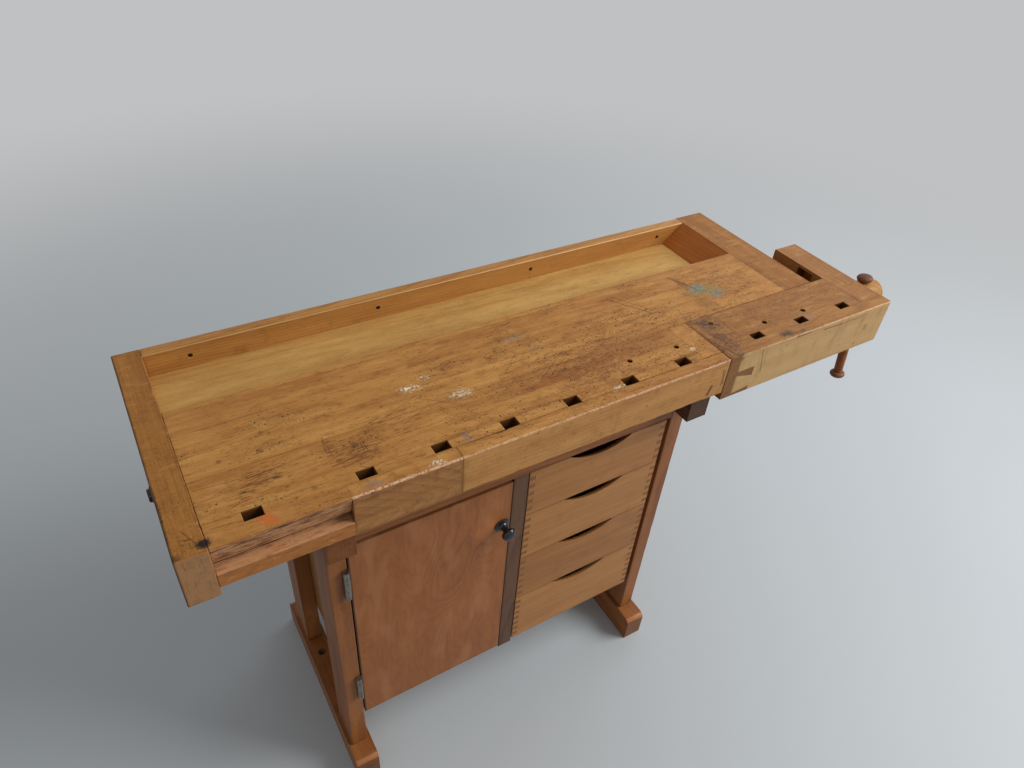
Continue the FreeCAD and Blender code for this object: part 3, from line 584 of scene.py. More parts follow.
def hexagon(base, axis, flats, thickness, chamfer):
    """Bolt head: around the axis the radius is the half width over the cosine of the angle from the
    nearest flat's middle, cut by a cone at the outer face."""
    sides = 72
    turn = np.linspace(0, 2 * np.pi, sides, endpoint=False)
    apothem = flats / 2
    hexagonal = apothem / np.cos((turn + np.pi / 6) % (np.pi / 3) - np.pi / 6)
    stations = np.array([0.0, 0.0, 0.4, 0.7, 0.85, 1.0, 1.0]) * thickness
    cone = apothem * 1.15 - chamfer * np.clip(stations / thickness - 0.55, 0, 1) / 0.45
    circle = lathe([(s, 1.0) for s in stations], (0, 0, 0), axis, sides)
    axis = np.array(axis, float)
    along = (circle @ axis)[..., None] * axis
    radius = np.minimum(hexagonal[None], cone[:, None])
    radius[0] *= 0.9
    radius[-1] *= 0.88
    return np.array(base) + along + (circle - along) * radius[..., None]


def slotted_head(centre, outward, radius, height, slot_width, slot_depth, slope):
    """Screw head seen as chords across a disc: the top is a low dome, sunk where the chord lies
    within the slot; slope turns the slot in degrees."""
    half = slot_width / 2 / radius
    across = np.sort(np.concatenate([-np.cos(np.linspace(0.02, np.pi - 0.02, 18)),
                                     [-half * 1.12, -half, half, half * 1.12]]))
    chord = np.sqrt(np.maximum(1 - across ** 2, 0))
    side = chord[:, None] * np.linspace(-1, 1, 9)[None]
    dome = height * (1 - 0.35 * (across[:, None] ** 2 + side ** 2))
    sunk = (np.abs(across) <= half * 1.01)[:, None]
    top = dome - slot_depth * sunk
    upper = np.stack([np.broadcast_to(across[:, None], side.shape), side, top / radius], -1)
    lower = upper[:, ::-1].copy()
    lower[..., 2] = 0
    rings = np.concatenate([upper, lower], 1) * radius
    facing = Vector(outward).to_track_quat("Z", "Y").to_matrix()
    turn = facing @ Matrix.Rotation(math.radians(slope), 3, "Z")
    return rings @ np.array(turn).T + np.array(centre)


def soften_node(node, width):
    """Rounds the sharp edges of a CAD node with modifiers; its mesh stays as it is."""
    thing = frame["nodes"][node]
    weld = thing.modifiers.new("Joined corners", "WELD")
    weld.merge_threshold = 0.01 * MM
    rounding = thing.modifiers.new("Rounded edges", "BEVEL")
    rounding.width = width * MM
    rounding.segments = 2
    rounding.limit_method = "ANGLE"
    rounding.angle_limit = math.radians(35)
    rounding.harden_normals = True
    rounding.use_clamp_overlap = True


def dress(node, material):
    """Gives a CAD node its material."""
    mesh = frame["nodes"][node].data
    mesh.materials.clear()
    mesh.materials.append(material)


def dress_wood(node, wood, grain, edge=None, **details):
    """CAD board: a wood material fitted to its box, and rounded edges."""
    edge = bpy.context.scene.workbench_shape.board_edge if edge is None else edge
    dress(node, wood_material(node + "_wood", wood, grain, *span(node), **details))
    if edge:
        soften_node(node, edge)


def worn_board(node, wood, grain, edge, wear, seed, nicks=0, box=None, **details):
    """Replaces a plain CAD board by a worn one of the same size."""
    low, high = box or span(node)
    material = wood_material(node + "_wood", wood, grain, low, high, seed=float(seed), **details)
    rings = bar(low, high, int(np.argmax(high - low)), edge, wear, nicks, seed)
    new_piece(node + "_board", [rings], node, material)


# Marks of use

PLASTER = srgb(232, 222, 198)
CHARRED = srgb(34, 26, 24)
GREASE = srgb(74, 56, 50)
RUST_RED = srgb(124, 66, 34)
BLUE_GREY = srgb(122, 112, 106)
TEAL = srgb(96, 128, 122)
GREEN_BROWN = srgb(128, 122, 78)
ORANGE = srgb(206, 88, 36)
BROWN_STREAK = srgb(96, 58, 30)
RUST_BROWN = srgb(118, 68, 30)
SCRATCH = srgb(72, 42, 26)
SANDED = srgb(206, 158, 96)
BARE_EDGE = srgb(214, 172, 140)
PINE_EDGE_HIGHLIGHT = srgb(206, 160, 100)
CAP_END, CAP_DIRT = srgb(190, 146, 104), srgb(132, 98, 76)
CAP_OUTER_SHADE, CAP_CRACK = srgb(52, 36, 28), srgb(64, 42, 30)
TORN_PALE, TORN_DARK, SPLINTER = srgb(204, 150, 104), srgb(142, 84, 48), srgb(96, 48, 30)
BRUISE, BRUISE_LIGHT = srgb(112, 66, 54), srgb(208, 164, 118)
SEAT_CRACK, SEAT_GROOVE_SHADE = srgb(54, 30, 20), srgb(38, 22, 14)
FACE_PALE, FACE_DARK, LEDGE_HIGHLIGHT = srgb(190, 126, 62), srgb(132, 78, 34), srgb(204, 152, 114)
LEDGE_BRUISE, LEDGE_LIGHT = srgb(120, 72, 46), srgb(214, 164, 116)
VENEER_LINE, VENEER_LIGHT = srgb(108, 62, 34), srgb(172, 118, 76)
VENEER_WORN, HINGE_GAP_SHADE = srgb(190, 116, 58), srgb(30, 18, 14)
HANDLED_LIT_LIP = srgb(182, 104, 66)
BACKDROP = srgb(192, 193, 194)

# Each stain is its colour, place x and y, half lengths x and y, raggedness, share of crumbs and
# strength.
STAINS = (
    (PLASTER, 371, 166, 17, 8, 1.0, 1.0, 0.95), (PLASTER, 404, 180, 12, 7, 1.1, 1.0, 0.6),
    (PLASTER, 438, 121, 22, 10, 1.1, 0.9, 0.75), (PLASTER, 664, 27, 14, 5, 1.1, 0.9, 0.7),
    (PLASTER, 838, 52, 6, 5, 0.8, 0.6, 0.9), (PLASTER, 341, 8, 12, 5, 1.0, 0.9, 0.8),
    (BLUE_GREY, 581, 210, 24, 9, 1.0, 0.4, 0.5), (BLUE_GREY, 602, 175, 16, 7, 1.0, 0.5, 0.35),
    (BLUE_GREY, 401, 36, 6, 12, 0.7, 0.3, 0.6), (BLUE_GREY, 252, 10, 16, 7, 0.8, 0.3, 0.55),
    (ORANGE, 112, 22, 10, 9, 1.0, 0.7, 0.8), (ORANGE, 118, 10, 11, 5, 0.9, 0.5, 0.85),
    (ORANGE, 100, 56, 8, 5, 0.9, 0.7, 0.35),
    (CHARRED, 37, 14, 11, 8, 0.35, 0.0, 1.0), (CHARRED, 37, 14, 7, 5, 0.3, 0.0, 1.0),
    (CHARRED, 20, 22, 13, 14, 1.6, 0.9, 0.6), (GREEN_BROWN, 986, 186, 40, 22, 0.9, 0.2, 0.55),
    (TEAL, 976, 196, 21, 13, 0.9, 0.3, 0.85), (TEAL, 1000, 168, 20, 12, 1.0, 0.5, 0.75),
    (BROWN_STREAK, 958, 226, 9, 26, 1.0, 0.3, 0.6),
    (BROWN_STREAK, 958, 150, 22, 26, 1.2, 0.5, 0.45),
    (RUST_RED, 640, 80, 80, 44, 0.8, 0.5, 0.5), (RUST_RED, 740, 120, 96, 60, 0.8, 0.5, 0.4),
    (RUST_RED, 560, 110, 60, 40, 0.8, 0.5, 0.35), (RUST_RED, 122, 88, 46, 22, 1.0, 0.6, 0.35),
    (RUST_RED, 255, 74, 56, 30, 1.0, 0.6, 0.32), (GREASE, 905, 50, 14, 60, 1.0, 0.7, 0.7),
    (GREASE, 915, 100, 26, 16, 1.1, 0.6, 0.7), (CHARRED, 890, 118, 9, 16, 1.1, 0.7, 0.6),
    (CHARRED, 882, 40, 6, 44, 0.8, 0.4, 0.6), (CHARRED, 906, 2, 10, 9, 0.9, 0.3, 0.6),
    (GREASE, 1022, 13, 19, 8, 0.9, 0.2, 0.8), (CHARRED, 1020, 12, 10, 4, 1.0, 0.4, 0.6),
    (CHARRED, 926, 84, 22, 10, 1.3, 0.8, 0.5), (CHARRED, 925, 38, 20, 22, 1.4, 0.9, 0.45),
    (BLUE_GREY, 1090, 35, 30, 14, 0.9, 0.5, 0.4), (GREASE, 1216, 28, 22, 26, 1.0, 0.7, 0.4),
    (CHARRED, 180, 40, 5, 6, 0.9, 0.4, 0.5), (CHARRED, 140, 137, 5, 5, 0.8, 0.3, 0.5),
    (CHARRED, 87, 139, 4, 4, 0.8, 0.3, 0.5), (CHARRED, 156, 32, 3, 3, 0.6, 0.2, 0.5),
    (CHARRED, 101, 71, 7, 3, 1.0, 0.4, 0.7), (CHARRED, 143, 79, 6, 3, 0.9, 0.4, 0.6),
    (CHARRED, 254, 89, 5, 6, 0.9, 0.4, 0.5), (CHARRED, 276, 67, 7, 4, 0.9, 0.5, 0.5),
    (CHARRED, 4, 6, 7, 6, 1.0, 0.3, 0.75), (CHARRED, 1, 66, 3, 60, 1.2, 0.7, 0.7),
    (RUST_RED, 1239, 39, 12, 9, 1.0, 0.5, 0.5), (GREASE, 1058, 8, 7, 5, 0.9, 0.3, 0.7),
    (RUST_RED, 1012, 88, 22, 14, 1.1, 0.6, 0.6), (GREASE, 1092, 92, 40, 5, 1.2, 0.8, 0.35),
)

# Each scuffed place is its middle x and y, its half lengths and how much denser its streaks are.
SCUFFED = (
    (124, 86, 46, 24, 0.15), (98, 58, 22, 12, 0.12), (250, 74, 50, 26, 0.13),
    (226, 108, 14, 22, 0.1), (330, 112, 70, 34, 0.07), (640, 96, 110, 50, 0.07),
    (820, 200, 40, 60, 0.06), (906, 70, 30, 60, 0.1), (1150, 60, 60, 30, 0.05),
)

# Each kind of scratch is its angle in degrees, width, length and how high its noise has to be.
SCRATCHES = ((8, 1.0, 60, 0.68), (-28, 0.9, 24, 0.69), (63, 0.9, 22, 0.69), (100, 1.0, 18, 0.71))

# Each cut is a straight mark from one place to another, with its width and strength. The first
# list lies on the work surface in x and y, the second on the front faces in x and z.
TOP_CUTS = (
    (221, 124, 216, 92, 1.6, 0.7), (214, 64, 274, 71, 1.8, 0.6), (226, 55, 270, 62, 1.5, 0.6),
    (246, 50, 262, 36, 1.8, 0.6), (372, 142, 426, 100, 1.4, 0.6),
    (300, 118, 372, 146, 1.3, 0.5), (330, 96, 388, 122, 1.2, 0.5), (794, 240, 846, 164, 2.4, 0.55),
    (806, 244, 852, 172, 1.4, 0.55), (520, 132, 566, 176, 1.2, 0.5), (560, 92, 640, 148, 1.2, 0.5),
    (700, 148, 716, 74, 1.3, 0.5), (948, 252, 972, 196, 3.0, 0.7), (884, 112, 932, 84, 2.2, 0.9),
    (888, 92, 906, 40, 2.0, 0.85), (884, 52, 900, -6, 2.4, 0.85), (898, 70, 922, 58, 1.6, 0.7),
    (18, 45, 34, 8, 1.6, 0.6), (12, 30, 30, 26, 1.4, 0.6),
    (264, 91, 263.7, 74, 1.3, 0.7), (268, 91, 268.4, 68, 1.3, 0.7), (220, 124, 222.4, 82, 1.2, 0.6),
    (44, 102.4, 113, 96, 1.1, 0.6), (138, 93, 190, 101, 1.1, 0.5), (115, 79, 146, 81, 1.5, 0.7),
    (110, 94, 148, 95, 1.5, 0.7), (49, 31, 100, 27, 1.1, 0.5), (927, 81, 926.7, 43, 2.0, 0.5),
    (1008, 96, 1150, 104, 1.0, 0.45),
)
FRONT_CUTS = (
    (849, -43, 841, -66, 4.6, 0.85), (872, -20, 869, -54, 1.8, 0.7), (953, -1, 965, -57, 1.2, 0.75),
    (1229, -41, 1247, -44, 9.0, 0.4), (1234, -34, 1242, -50, 4.0, 0.35),
    (1106, -9, 1160, -11, 1.7, 0.75), (1150, -10, 1200, -11, 1.2, 0.6),
    (1034, -3, 1073, -3.6, 2.0, 0.7), (1189, -12, 1228, -9, 1.5, 0.6),
    (896, -5, 912, -9, 6.0, 0.5), (866, -16, 874, -52, 2.6, 0.55),
)


def inside(low, high, x, y, reach_x, reach_y):
    """True where a mark with this middle and these half lengths meets a board."""
    return (low[0] - reach_x < x < high[0] + reach_x) and (low[1] - reach_y < y < high[1] + reach_y)


def cut(first, second, points, width):
    """1 on a straight mark between two places and 0 away from it: the larger of the distance from
    its line and the distance past its ends."""
    start, end = np.array(points[:2], float), np.array(points[2:], float)
    length = float(np.hypot(*(end - start)))
    ahead = [float(part) for part in (end - start) / length]
    from_x, from_y = first - float(start[0]), second - float(start[1])
    along = from_x * ahead[0] + from_y * ahead[1]
    aside = from_y * ahead[0] - from_x * ahead[1]
    past = abs(along - length / 2) - (length / 2 - width)
    return abs(aside).most(past).ease(width, width * 0.25)


def strongest(wires):
    """The largest of several wires at each place, or None when there are none."""
    found = None
    for wire in wires:
        found = wire if found is None else found.most(wire)
    return found


def all_cuts(first, second, cuts, low, high):
    """The strongest of the cuts that lie within a board."""
    return strongest(
        cut(first, second, (x0, y0, x1, y1), width) * strength
        for x0, y0, x1, y1, width, strength in cuts
        if inside(low, high, (x0 + x1) / 2, (y0 + y1) / 2, abs(x1 - x0) / 2 + width,
                  abs(y1 - y0) / 2 + width))


def bench_marks(paint, low, high, scratched=1.0, bare_edge=0.0, smear_height=22.0):
    """Stains, scratches, dents and bare edges of the work surface. A stain is where the distance
    from its middle, measured in its half lengths and bent by noise, is under one. A scratch is
    where noise, stretched along the line of the scratch, is near its top."""
    x, y, z = paint.axes
    up = paint.facing[2].ease(0.3, 0.8)
    coarse = paint.vector("SUBTRACT", paint.lumps(16.0, 3, output=1), (0.5, 0.5, 0.5))
    fine = paint.lumps(3.2, 2)
    crumbs = paint.lumps(5.0, 3, 0.7).ease(0.49, 0.56)
    used = (paint.grain((120, 60, 1), 2) + x.ease(330, 620) * 0.16 - x.ease(1000, 1200) * 0.1
            - y.ease(170, 260) * 0.14)
    busy = used.ease(0.44, 0.64)
    cloud = paint.grain((46, 13, 10), 5, 0.62)
    paint.tint((cloud + busy * 0.04).ease(0.5, 0.74) * up * (0.42 * scratched), RUST_BROWN)
    paint.tint(cloud.ease(0.46, 0.3) * up * 0.3, SANDED)
    dashes = paint.grain((13, 2.1, 2), 2) + (cloud - 0.5) * 0.3 + busy * 0.01
    for sx, sy, rx, ry, amount in SCUFFED:
        if inside(low, high, sx, sy, rx, ry):
            away = paint.size(paint.away((sx, sy, 0), (rx, ry, ENDLESS)))
            dashes = dashes + away.ease(1.4, 0.1) * amount
    paint.tint(dashes.ease(0.6, 0.72) * up * 0.65 * scratched, BROWN_STREAK)
    for shade, sx, sy, rx, ry, ragged, broken, strength in STAINS:
        if inside(low, high, sx, sy, 1.3 * rx, 1.3 * ry):
            bent = paint.vector("ADD", paint.away((sx, sy, 0), (rx, ry, ENDLESS)),
                                paint.vector("MULTIPLY", coarse, (2 * ragged,) * 3))
            away = paint.size(bent) + (fine - 0.5) * 0.9
            share = away.ease(1.3, 0.35) * up * (crumbs * broken + (1 - broken))
            paint.tint(share * strength, shade)
            if shade == PLASTER:
                paint.height = paint.height + share * 0.4
    strokes = []
    for angle, width, length, level in SCRATCHES:
        turned = paint.add("ShaderNodeMapping", None,
                           {"Vector": paint.spot, "Rotation": (0, 0, math.radians(angle))})
        scaled = paint.vector("MULTIPLY", turned, (1 / length, 1 / width, 0.01))
        strokes.append((paint.noise(scaled, detail=1) + busy * 0.05).ease(level, level + 0.06))
    lines = strongest(strokes) * up * (0.25 + 0.75 * busy) * scratched
    cuts = all_cuts(x, y, TOP_CUTS, low, high)
    if cuts is not None:
        lines = lines.most(cuts * up * (0.35 + fine * 1.1))
    paint.tint(lines.clamp() * 0.8, SCRATCH)
    holes = (paint.cells(19.0) + (fine - 0.5) * 0.05).ease(0.085, 0.05) * up * busy * scratched
    paint.tint(holes * 0.85, CHARRED)
    dots = (paint.cells(8.0) + (1 - busy) * 0.1 - (cloud - 0.5) * 0.2).ease(0.1, 0.05)
    dots = dots * up * scratched
    paint.tint(dots * 0.55, BROWN_STREAK)
    paint.height = paint.height - lines * 0.22 - holes * 0.6 - dots * 0.1
    paint.rough = paint.rough + lines * 0.15
    if bare_edge:
        lumps = fine + paint.parts(coarse)[0] * 0.7
        band = (y + (fine - 0.5) * 3.0).ease(3.6, 1.2) * (z + (fine - 0.5) * 4.0).ease(-4.2, -1.4)
        paint.tint(band * lumps.ease(0.34, 0.58) * x.ease(205, 225) * bare_edge, BARE_EDGE)
        front = paint.facing[1].ease(-0.6, -0.9)
        scars = all_cuts(x, z, FRONT_CUTS, low[[0, 2]], high[[0, 2]])
        if scars is not None:
            paint.tint(scars * front * (0.5 + fine), SCRATCH)
        pecks = (paint.cells(15.0, "3D") - (cloud - 0.56) * 0.9).ease(0.15, 0.08) * front
        paint.tint(pecks * 0.55, BROWN_STREAK)
        smear = paint.grain((22, 60, smear_height), 5, 0.65)
        paint.tint(smear.ease(0.5, 0.72) * front * 0.28, BROWN_STREAK)


def cap_marks(paint, low, high):
    """Marks of the top, then grey dirt and upright cracks in the end grain of the left end cap,
    and painted shade on its outer left face and along that edge."""
    bench_marks(paint, low, high, scratched=0.6)
    end = abs(paint.facing[1]).ease(0.8, 0.97)
    cloud = paint.lumps(18.0, 4, 0.6)
    paint.tint(end * 0.45, CAP_END)
    paint.tint(end * cloud.ease(0.45, 0.65) * 0.5, CAP_DIRT)
    # Painted shade: the cap's outer left face and a band of its top along it are darkened.
    paint.tint((paint.axes[0] + (cloud - 0.5) * 5.0).ease(3.2, 0.6) * 0.6, CAP_OUTER_SHADE)
    cracks = paint.grain((1.8, 20, 30), 2).ease(0.6, 0.67) * end
    paint.tint(cracks * 0.28, CAP_CRACK)
    paint.height = paint.height - cracks * 0.3


def seat_marks(paint, low, high):
    """Marks of the top, then bands of the old vise seat: a reddish bevel with long splinters and
    bruises, painted shade in the groove, and a clean orange face under a painted highlight
    along the ledge."""
    bench_marks(paint, low, high, scratched=0.8)
    y, z = paint.axes[1:]
    torn = paint.grain((38, 2.4, 2.4), 4, 0.65)
    ragged = paint.grain((14, 5, 5), 3) - 0.5
    bruise = paint.grain((24, 7, 7), 4, 0.7)
    low_z = z + ragged * 7.0
    bevel = low_z.ease(-0.5, -3.0) * z.ease(-41.5, -39.5)
    paint.tint(bevel * 0.9, paint.mix(torn.ease(0.48, 0.7), TORN_PALE, TORN_DARK))
    paint.tint(bevel * torn.ease(0.55, 0.64) * low_z.ease(-22.0, -9.0) * 0.85, SPLINTER)
    paint.tint(bevel * bruise.ease(0.48, 0.62) * 0.75, BRUISE)
    paint.tint(bevel * bruise.ease(0.46, 0.34) * 0.5, BRUISE_LIGHT)
    paint.tint(low_z.ease(-3.0, -4.0) * low_z.ease(-6.5, -5.0) * 0.7, SEAT_CRACK)
    # Painted shade: the back of the groove is darkened almost to black.
    groove = z.ease(-39.0, -40.5) * z.ease(-47.2, -46.6) * y.ease(12.0, 14.5)
    paint.tint(groove * 0.85, SEAT_GROOVE_SHADE)
    paint.tint(z.ease(-46.9, -48.5) * 0.8, paint.mix(torn, FACE_PALE, FACE_DARK))
    # Painted highlight: a pale band along the ledge, broken by the torn noise.
    ledge = z.ease(-45.0, -46.6) * z.ease(-49.6, -48.2)
    paint.tint(ledge * 0.75 * torn.ease(0.3, 0.5), LEDGE_HIGHLIGHT)
    below = z.ease(-44.0, -46.0)
    paint.tint(below * bruise.ease(0.52, 0.64) * 0.5, LEDGE_BRUISE)
    paint.tint(below * bruise.ease(0.44, 0.32) * 0.4, LEDGE_LIGHT)
    paint.height = paint.height - bevel * torn.ease(0.45, 0.7) * 0.9 + bevel * ragged * 0.8


def foot_marks(paint, low, high):
    """Painted shade: a dark ring fading out from the screw hole in a foot's upper face."""
    setback = 255.0
    hole = ((low[0] + high[0]) / 2, low[1] + setback, 0)
    around = paint.size(paint.away(hole, (1, 1, ENDLESS)))
    paint.tint(around.ease(9.5, 6.0) * paint.facing[2].ease(0.3, 0.8) * 0.9, CHARRED)


def door_marks(paint, low, high):
    """Figure of a peeled veneer: a slow noise field, raised in a hill beside the knob, is cut into
    steps, and each step's edge is a soft dark line. On the outer face, a worn orange patch lies
    beside the knob. A dark border along the hinge side is painted shade of the gap there."""
    knob_low, knob_high = span("door_knob")
    knob_x, knob_z = ((knob_low + knob_high) / 2)[[0, 2]]
    hill = paint.size(paint.away((knob_x - 74, 0, knob_z - 6), (62, ENDLESS, 150)))
    field = (paint.grain((90, 100, 300), 1) * 20.0 + hill.ease(1.7, 0.0) * 9.0
             + paint.grain((10, 20, 34), 3) * 1.1)
    lines = abs(field.fraction() - 0.5).ease(0.22, 0.5)
    paint.tint(lines * (0.2 + hill.ease(1.3, 0.5) * 0.2), VENEER_LINE)
    paint.tint(paint.grain((40, 10, 120), 3).ease(0.52, 0.34) * 0.35, VENEER_LIGHT)
    patch = paint.size(paint.away((knob_x - 28, 0, knob_z + 6), (26, ENDLESS, 44)))
    patch = patch + (paint.lumps(14.0, 3) - 0.5) * 1.2
    paint.tint(patch.ease(1.2, 0.3) * paint.facing[1].ease(-0.4, -0.8) * 0.35, VENEER_WORN)
    # Painted shade: a dark strip along the hinge side stands for the shadow in the gap.
    paint.tint((paint.axes[0] - float(low[0])).ease(3.6, 1.2) * 0.8, HINGE_GAP_SHADE)


def lip_marks(paint, low, high):
    """Handled red-brown wood on the lip of a drawer's finger scoop, below its top edge; its colour
    is also made brighter as a painted highlight where the lip catches light.
    """
    lip = abs(paint.facing[1]).ease(0.5, 0.2) * paint.axes[2].ease(high[2] - 0.6, high[2] - 3.0)
    paint.tint(lip * paint.facing[2].ease(0.2, 0.5) * 0.8, HANDLED_LIT_LIP)


# Operators, one for each group of pieces

class WORKBENCH_OT_top(bpy.types.Operator):
    """Boards of the top with their marks of use"""

    bl_idname = "workbench.top"
    bl_label = "Top boards"
    bl_options = {"REGISTER", "UNDO"}

    def execute(self, context):
        shape = context.scene.workbench_shape
        worn_board("left_end_cap", "cap_beech", ALONG_Y, shape.worn_edge, shape.wear, 3, nicks=7,
                   heart=(30, 190), ring=11.0, figure=0.16, border=0.9, grime=0.4, tone=0.4,
                   end_grain=0.4, marks=cap_marks)
        # shade=0.12 darkens the whole right end cap: painted shade for the weaker light at that
        # end.
        dress_wood("right_end_cap", "cap_beech", ALONG_Y, heart=(-20, 180), ring=10.0, seed=7.0,
                   grime=0.3, figure=0.18, border=0.5, shade=0.12, tone=0.7,
                   marks=partial(bench_marks, scratched=0.6))
        worn_board("front_strip_right", "strip_beech", ALONG_X, shape.worn_edge, shape.wear, 11,
                   nicks=14, heart=(60, 150), ring=7.0, figure=0.2, fibre=0.5, border=0.5,
                   grime=0.4, top_wood="top_beech", tone=0.7,
                   marks=partial(bench_marks, scratched=0.8, bare_edge=0.6))
        dress_wood("front_strip_left", "insert_beech", ALONG_X, edge=0.0, heart=(0, 16), ring=12.0,
                   figure=0.28, taper=0.4, sway=46.0, seed=2.0, top_wood="top_beech", grime=0.8,
                   fibre=0.7, tone=0.8, marks=partial(bench_marks, scratched=0.8, bare_edge=0.95))
        dress_wood("vise_seat_strip", "seat_beech", ALONG_X, heart=(0, 90), seed=5.0, grime=0.5,
                   figure=0.2, worn=0.8, border=0.2, top_wood="top_beech", marks=seat_marks)
        dress_wood("dog_core_blocks", "top_beech", ALONG_X, heart=(0, 120), seed=8.0, border=0.1,
                   figure=0.15, pit=0.9, tone=0.8, marks=bench_marks)
        dress_wood("front_board", "top_beech", ALONG_X, heart=(10, 140), seed=1.0, border=0.2,
                   figure=0.15, pit=0.9, tone=0.8, staves=(ALONG_Y, 41.5, 38.2),
                   marks=bench_marks)
        dress_wood("back_board_of_top", "top_beech", ALONG_X, heart=(-20, 160), seed=4.0,
                   figure=0.15, border=0.2, grime=0.3, tone=0.8, staves=(ALONG_Y, 118.0, 47.0),
                   marks=bench_marks)
        dress_wood("bench_jaw_block", "top_beech", ALONG_Y, seed=9.0, border=0.4, grime=0.5,
                   figure=0.2, marks=bench_marks)
        dress_wood("tray_floor", "tray_beech", ALONG_X, heart=(0, 200), seed=6.0, fibre=0.6,
                   figure=0.2, grime=0.15, tone=0.7, border=0.2, staves=(ALONG_Y, 246.0, 72.0),
                   marks=partial(bench_marks, scratched=0.3))
        dress_wood("tray_ramp", "ramp_pine", ALONG_Y, heart=(0, 60), seed=3.0, figure=0.4)
        # The back board's pale edge colour is a painted highlight where its rounded top edges catch
        # light.
        dress_wood("back_board", "pine", ALONG_X, edge=1.8, seed=21.0, heart=(26, 40), ring=4.5,
                   figure=0.3, taper=0.035, border=0.5, worn=0.8, edge_shade=PINE_EDGE_HIGHLIGHT,
                   coat=0.15)
        dress_wood("notch_rail", "top_beech", ALONG_X, seed=13.0)
        return {"FINISHED"}


class WORKBENCH_OT_fastenings(bpy.types.Operator):
    """Bolts of the end caps, and the screws of the tray and the frame"""

    bl_idname = "workbench.fastenings"
    bl_label = "Bolts and screws"
    bl_options = {"REGISTER", "UNDO"}

    def execute(self, context):
        iron = metal_material("old_iron", "old_iron", 0.42, 0.85)
        low, high = span("end_cap_bolts")
        drop = (low[2] + high[2]) / 2
        washer, thick = 12.0, 1.5
        profile = [(0, washer), (0.9, washer), (thick, washer - 0.6), (thick, 6.0)]
        skins = []
        for face, way, setback in ((span("left_end_cap")[0][0], -1, low[1] + washer),
                                   (span("right_end_cap")[1][0], 1, high[1] - washer)):
            skins.append(lathe(profile, (face, setback, drop), (way, 0, 0), 48))
            skins.append(hexagon((face + way * (thick - 0.1), setback, drop), (way, 0, 0),
                                 flats=17.0, thickness=4.0, chamfer=1.3))
        new_piece("cap_bolt_heads", skins, "end_cap_bolts", iron)
        low, high = span("back_board_screws")
        drop = (low[2] + high[2]) / 2
        radius, sunk = 4.0, 1.2
        places = np.linspace(low[0] + radius, high[0] - radius, 4)
        skins = [slotted_head((x, low[1] + sunk, drop), (0, -1, 0), radius, height=1.1,
                              slot_width=1.0, slot_depth=0.8, slope=25 + 50 * index)
                 for index, x in enumerate(places)]
        new_piece("tray_screw_heads", skins, "back_board_screws", iron)
        dress("frame_screws", metal_material("zinc_screws", "steel", 0.4, 0.9))
        return {"FINISHED"}


class WORKBENCH_OT_vise(bpy.types.Operator):
    """Body of the tail vise and its guides"""

    bl_idname = "workbench.vise"
    bl_label = "Tail vise"
    bl_options = {"REGISTER", "UNDO"}

    def execute(self, context):
        marks = partial(bench_marks, smear_height=80.0)
        dress_wood("vise_jaw_block", "jaw_beech", ALONG_Y, seed=1.0, grime=0.4, border=0.5,
                   worn=0.4, figure=0.2, top_wood="vise_beech", marks=partial(marks, scratched=1.2))
        dress_wood("vise_front_board", "pale_beech", ALONG_X, seed=4.0, heart=(40, 120),
                   figure=0.25, fibre=0.4, border=0.4, grime=0.15, top_wood="vise_beech",
                   marks=partial(marks, scratched=0.6, bare_edge=0.4))
        dress_wood("vise_dog_blocks", "vise_beech", ALONG_X, seed=2.0, grime=0.2, figure=0.15,
                   border=0.1, pit=0.9, marks=partial(marks, scratched=0.7))
        dress_wood("vise_top_board", "vise_beech", ALONG_X, seed=3.0, heart=(0, 90), figure=0.15,
                   grime=0.2, border=0.3, pit=0.9, marks=partial(marks, scratched=0.7))
        dress_wood("vise_end_block", "arm_beech", ALONG_Y, seed=6.0, heart=(-14, 40), figure=0.25,
                   border=0.5, grime=0.2, marks=partial(marks, scratched=0.5))
        for node in ("vise_nut_block", "screw_garter", "vise_runner", "vise_guide_bar"):
            dress_wood(node, "vise_beech", ALONG_X, seed=5.0, grime=0.5)
        return {"FINISHED"}


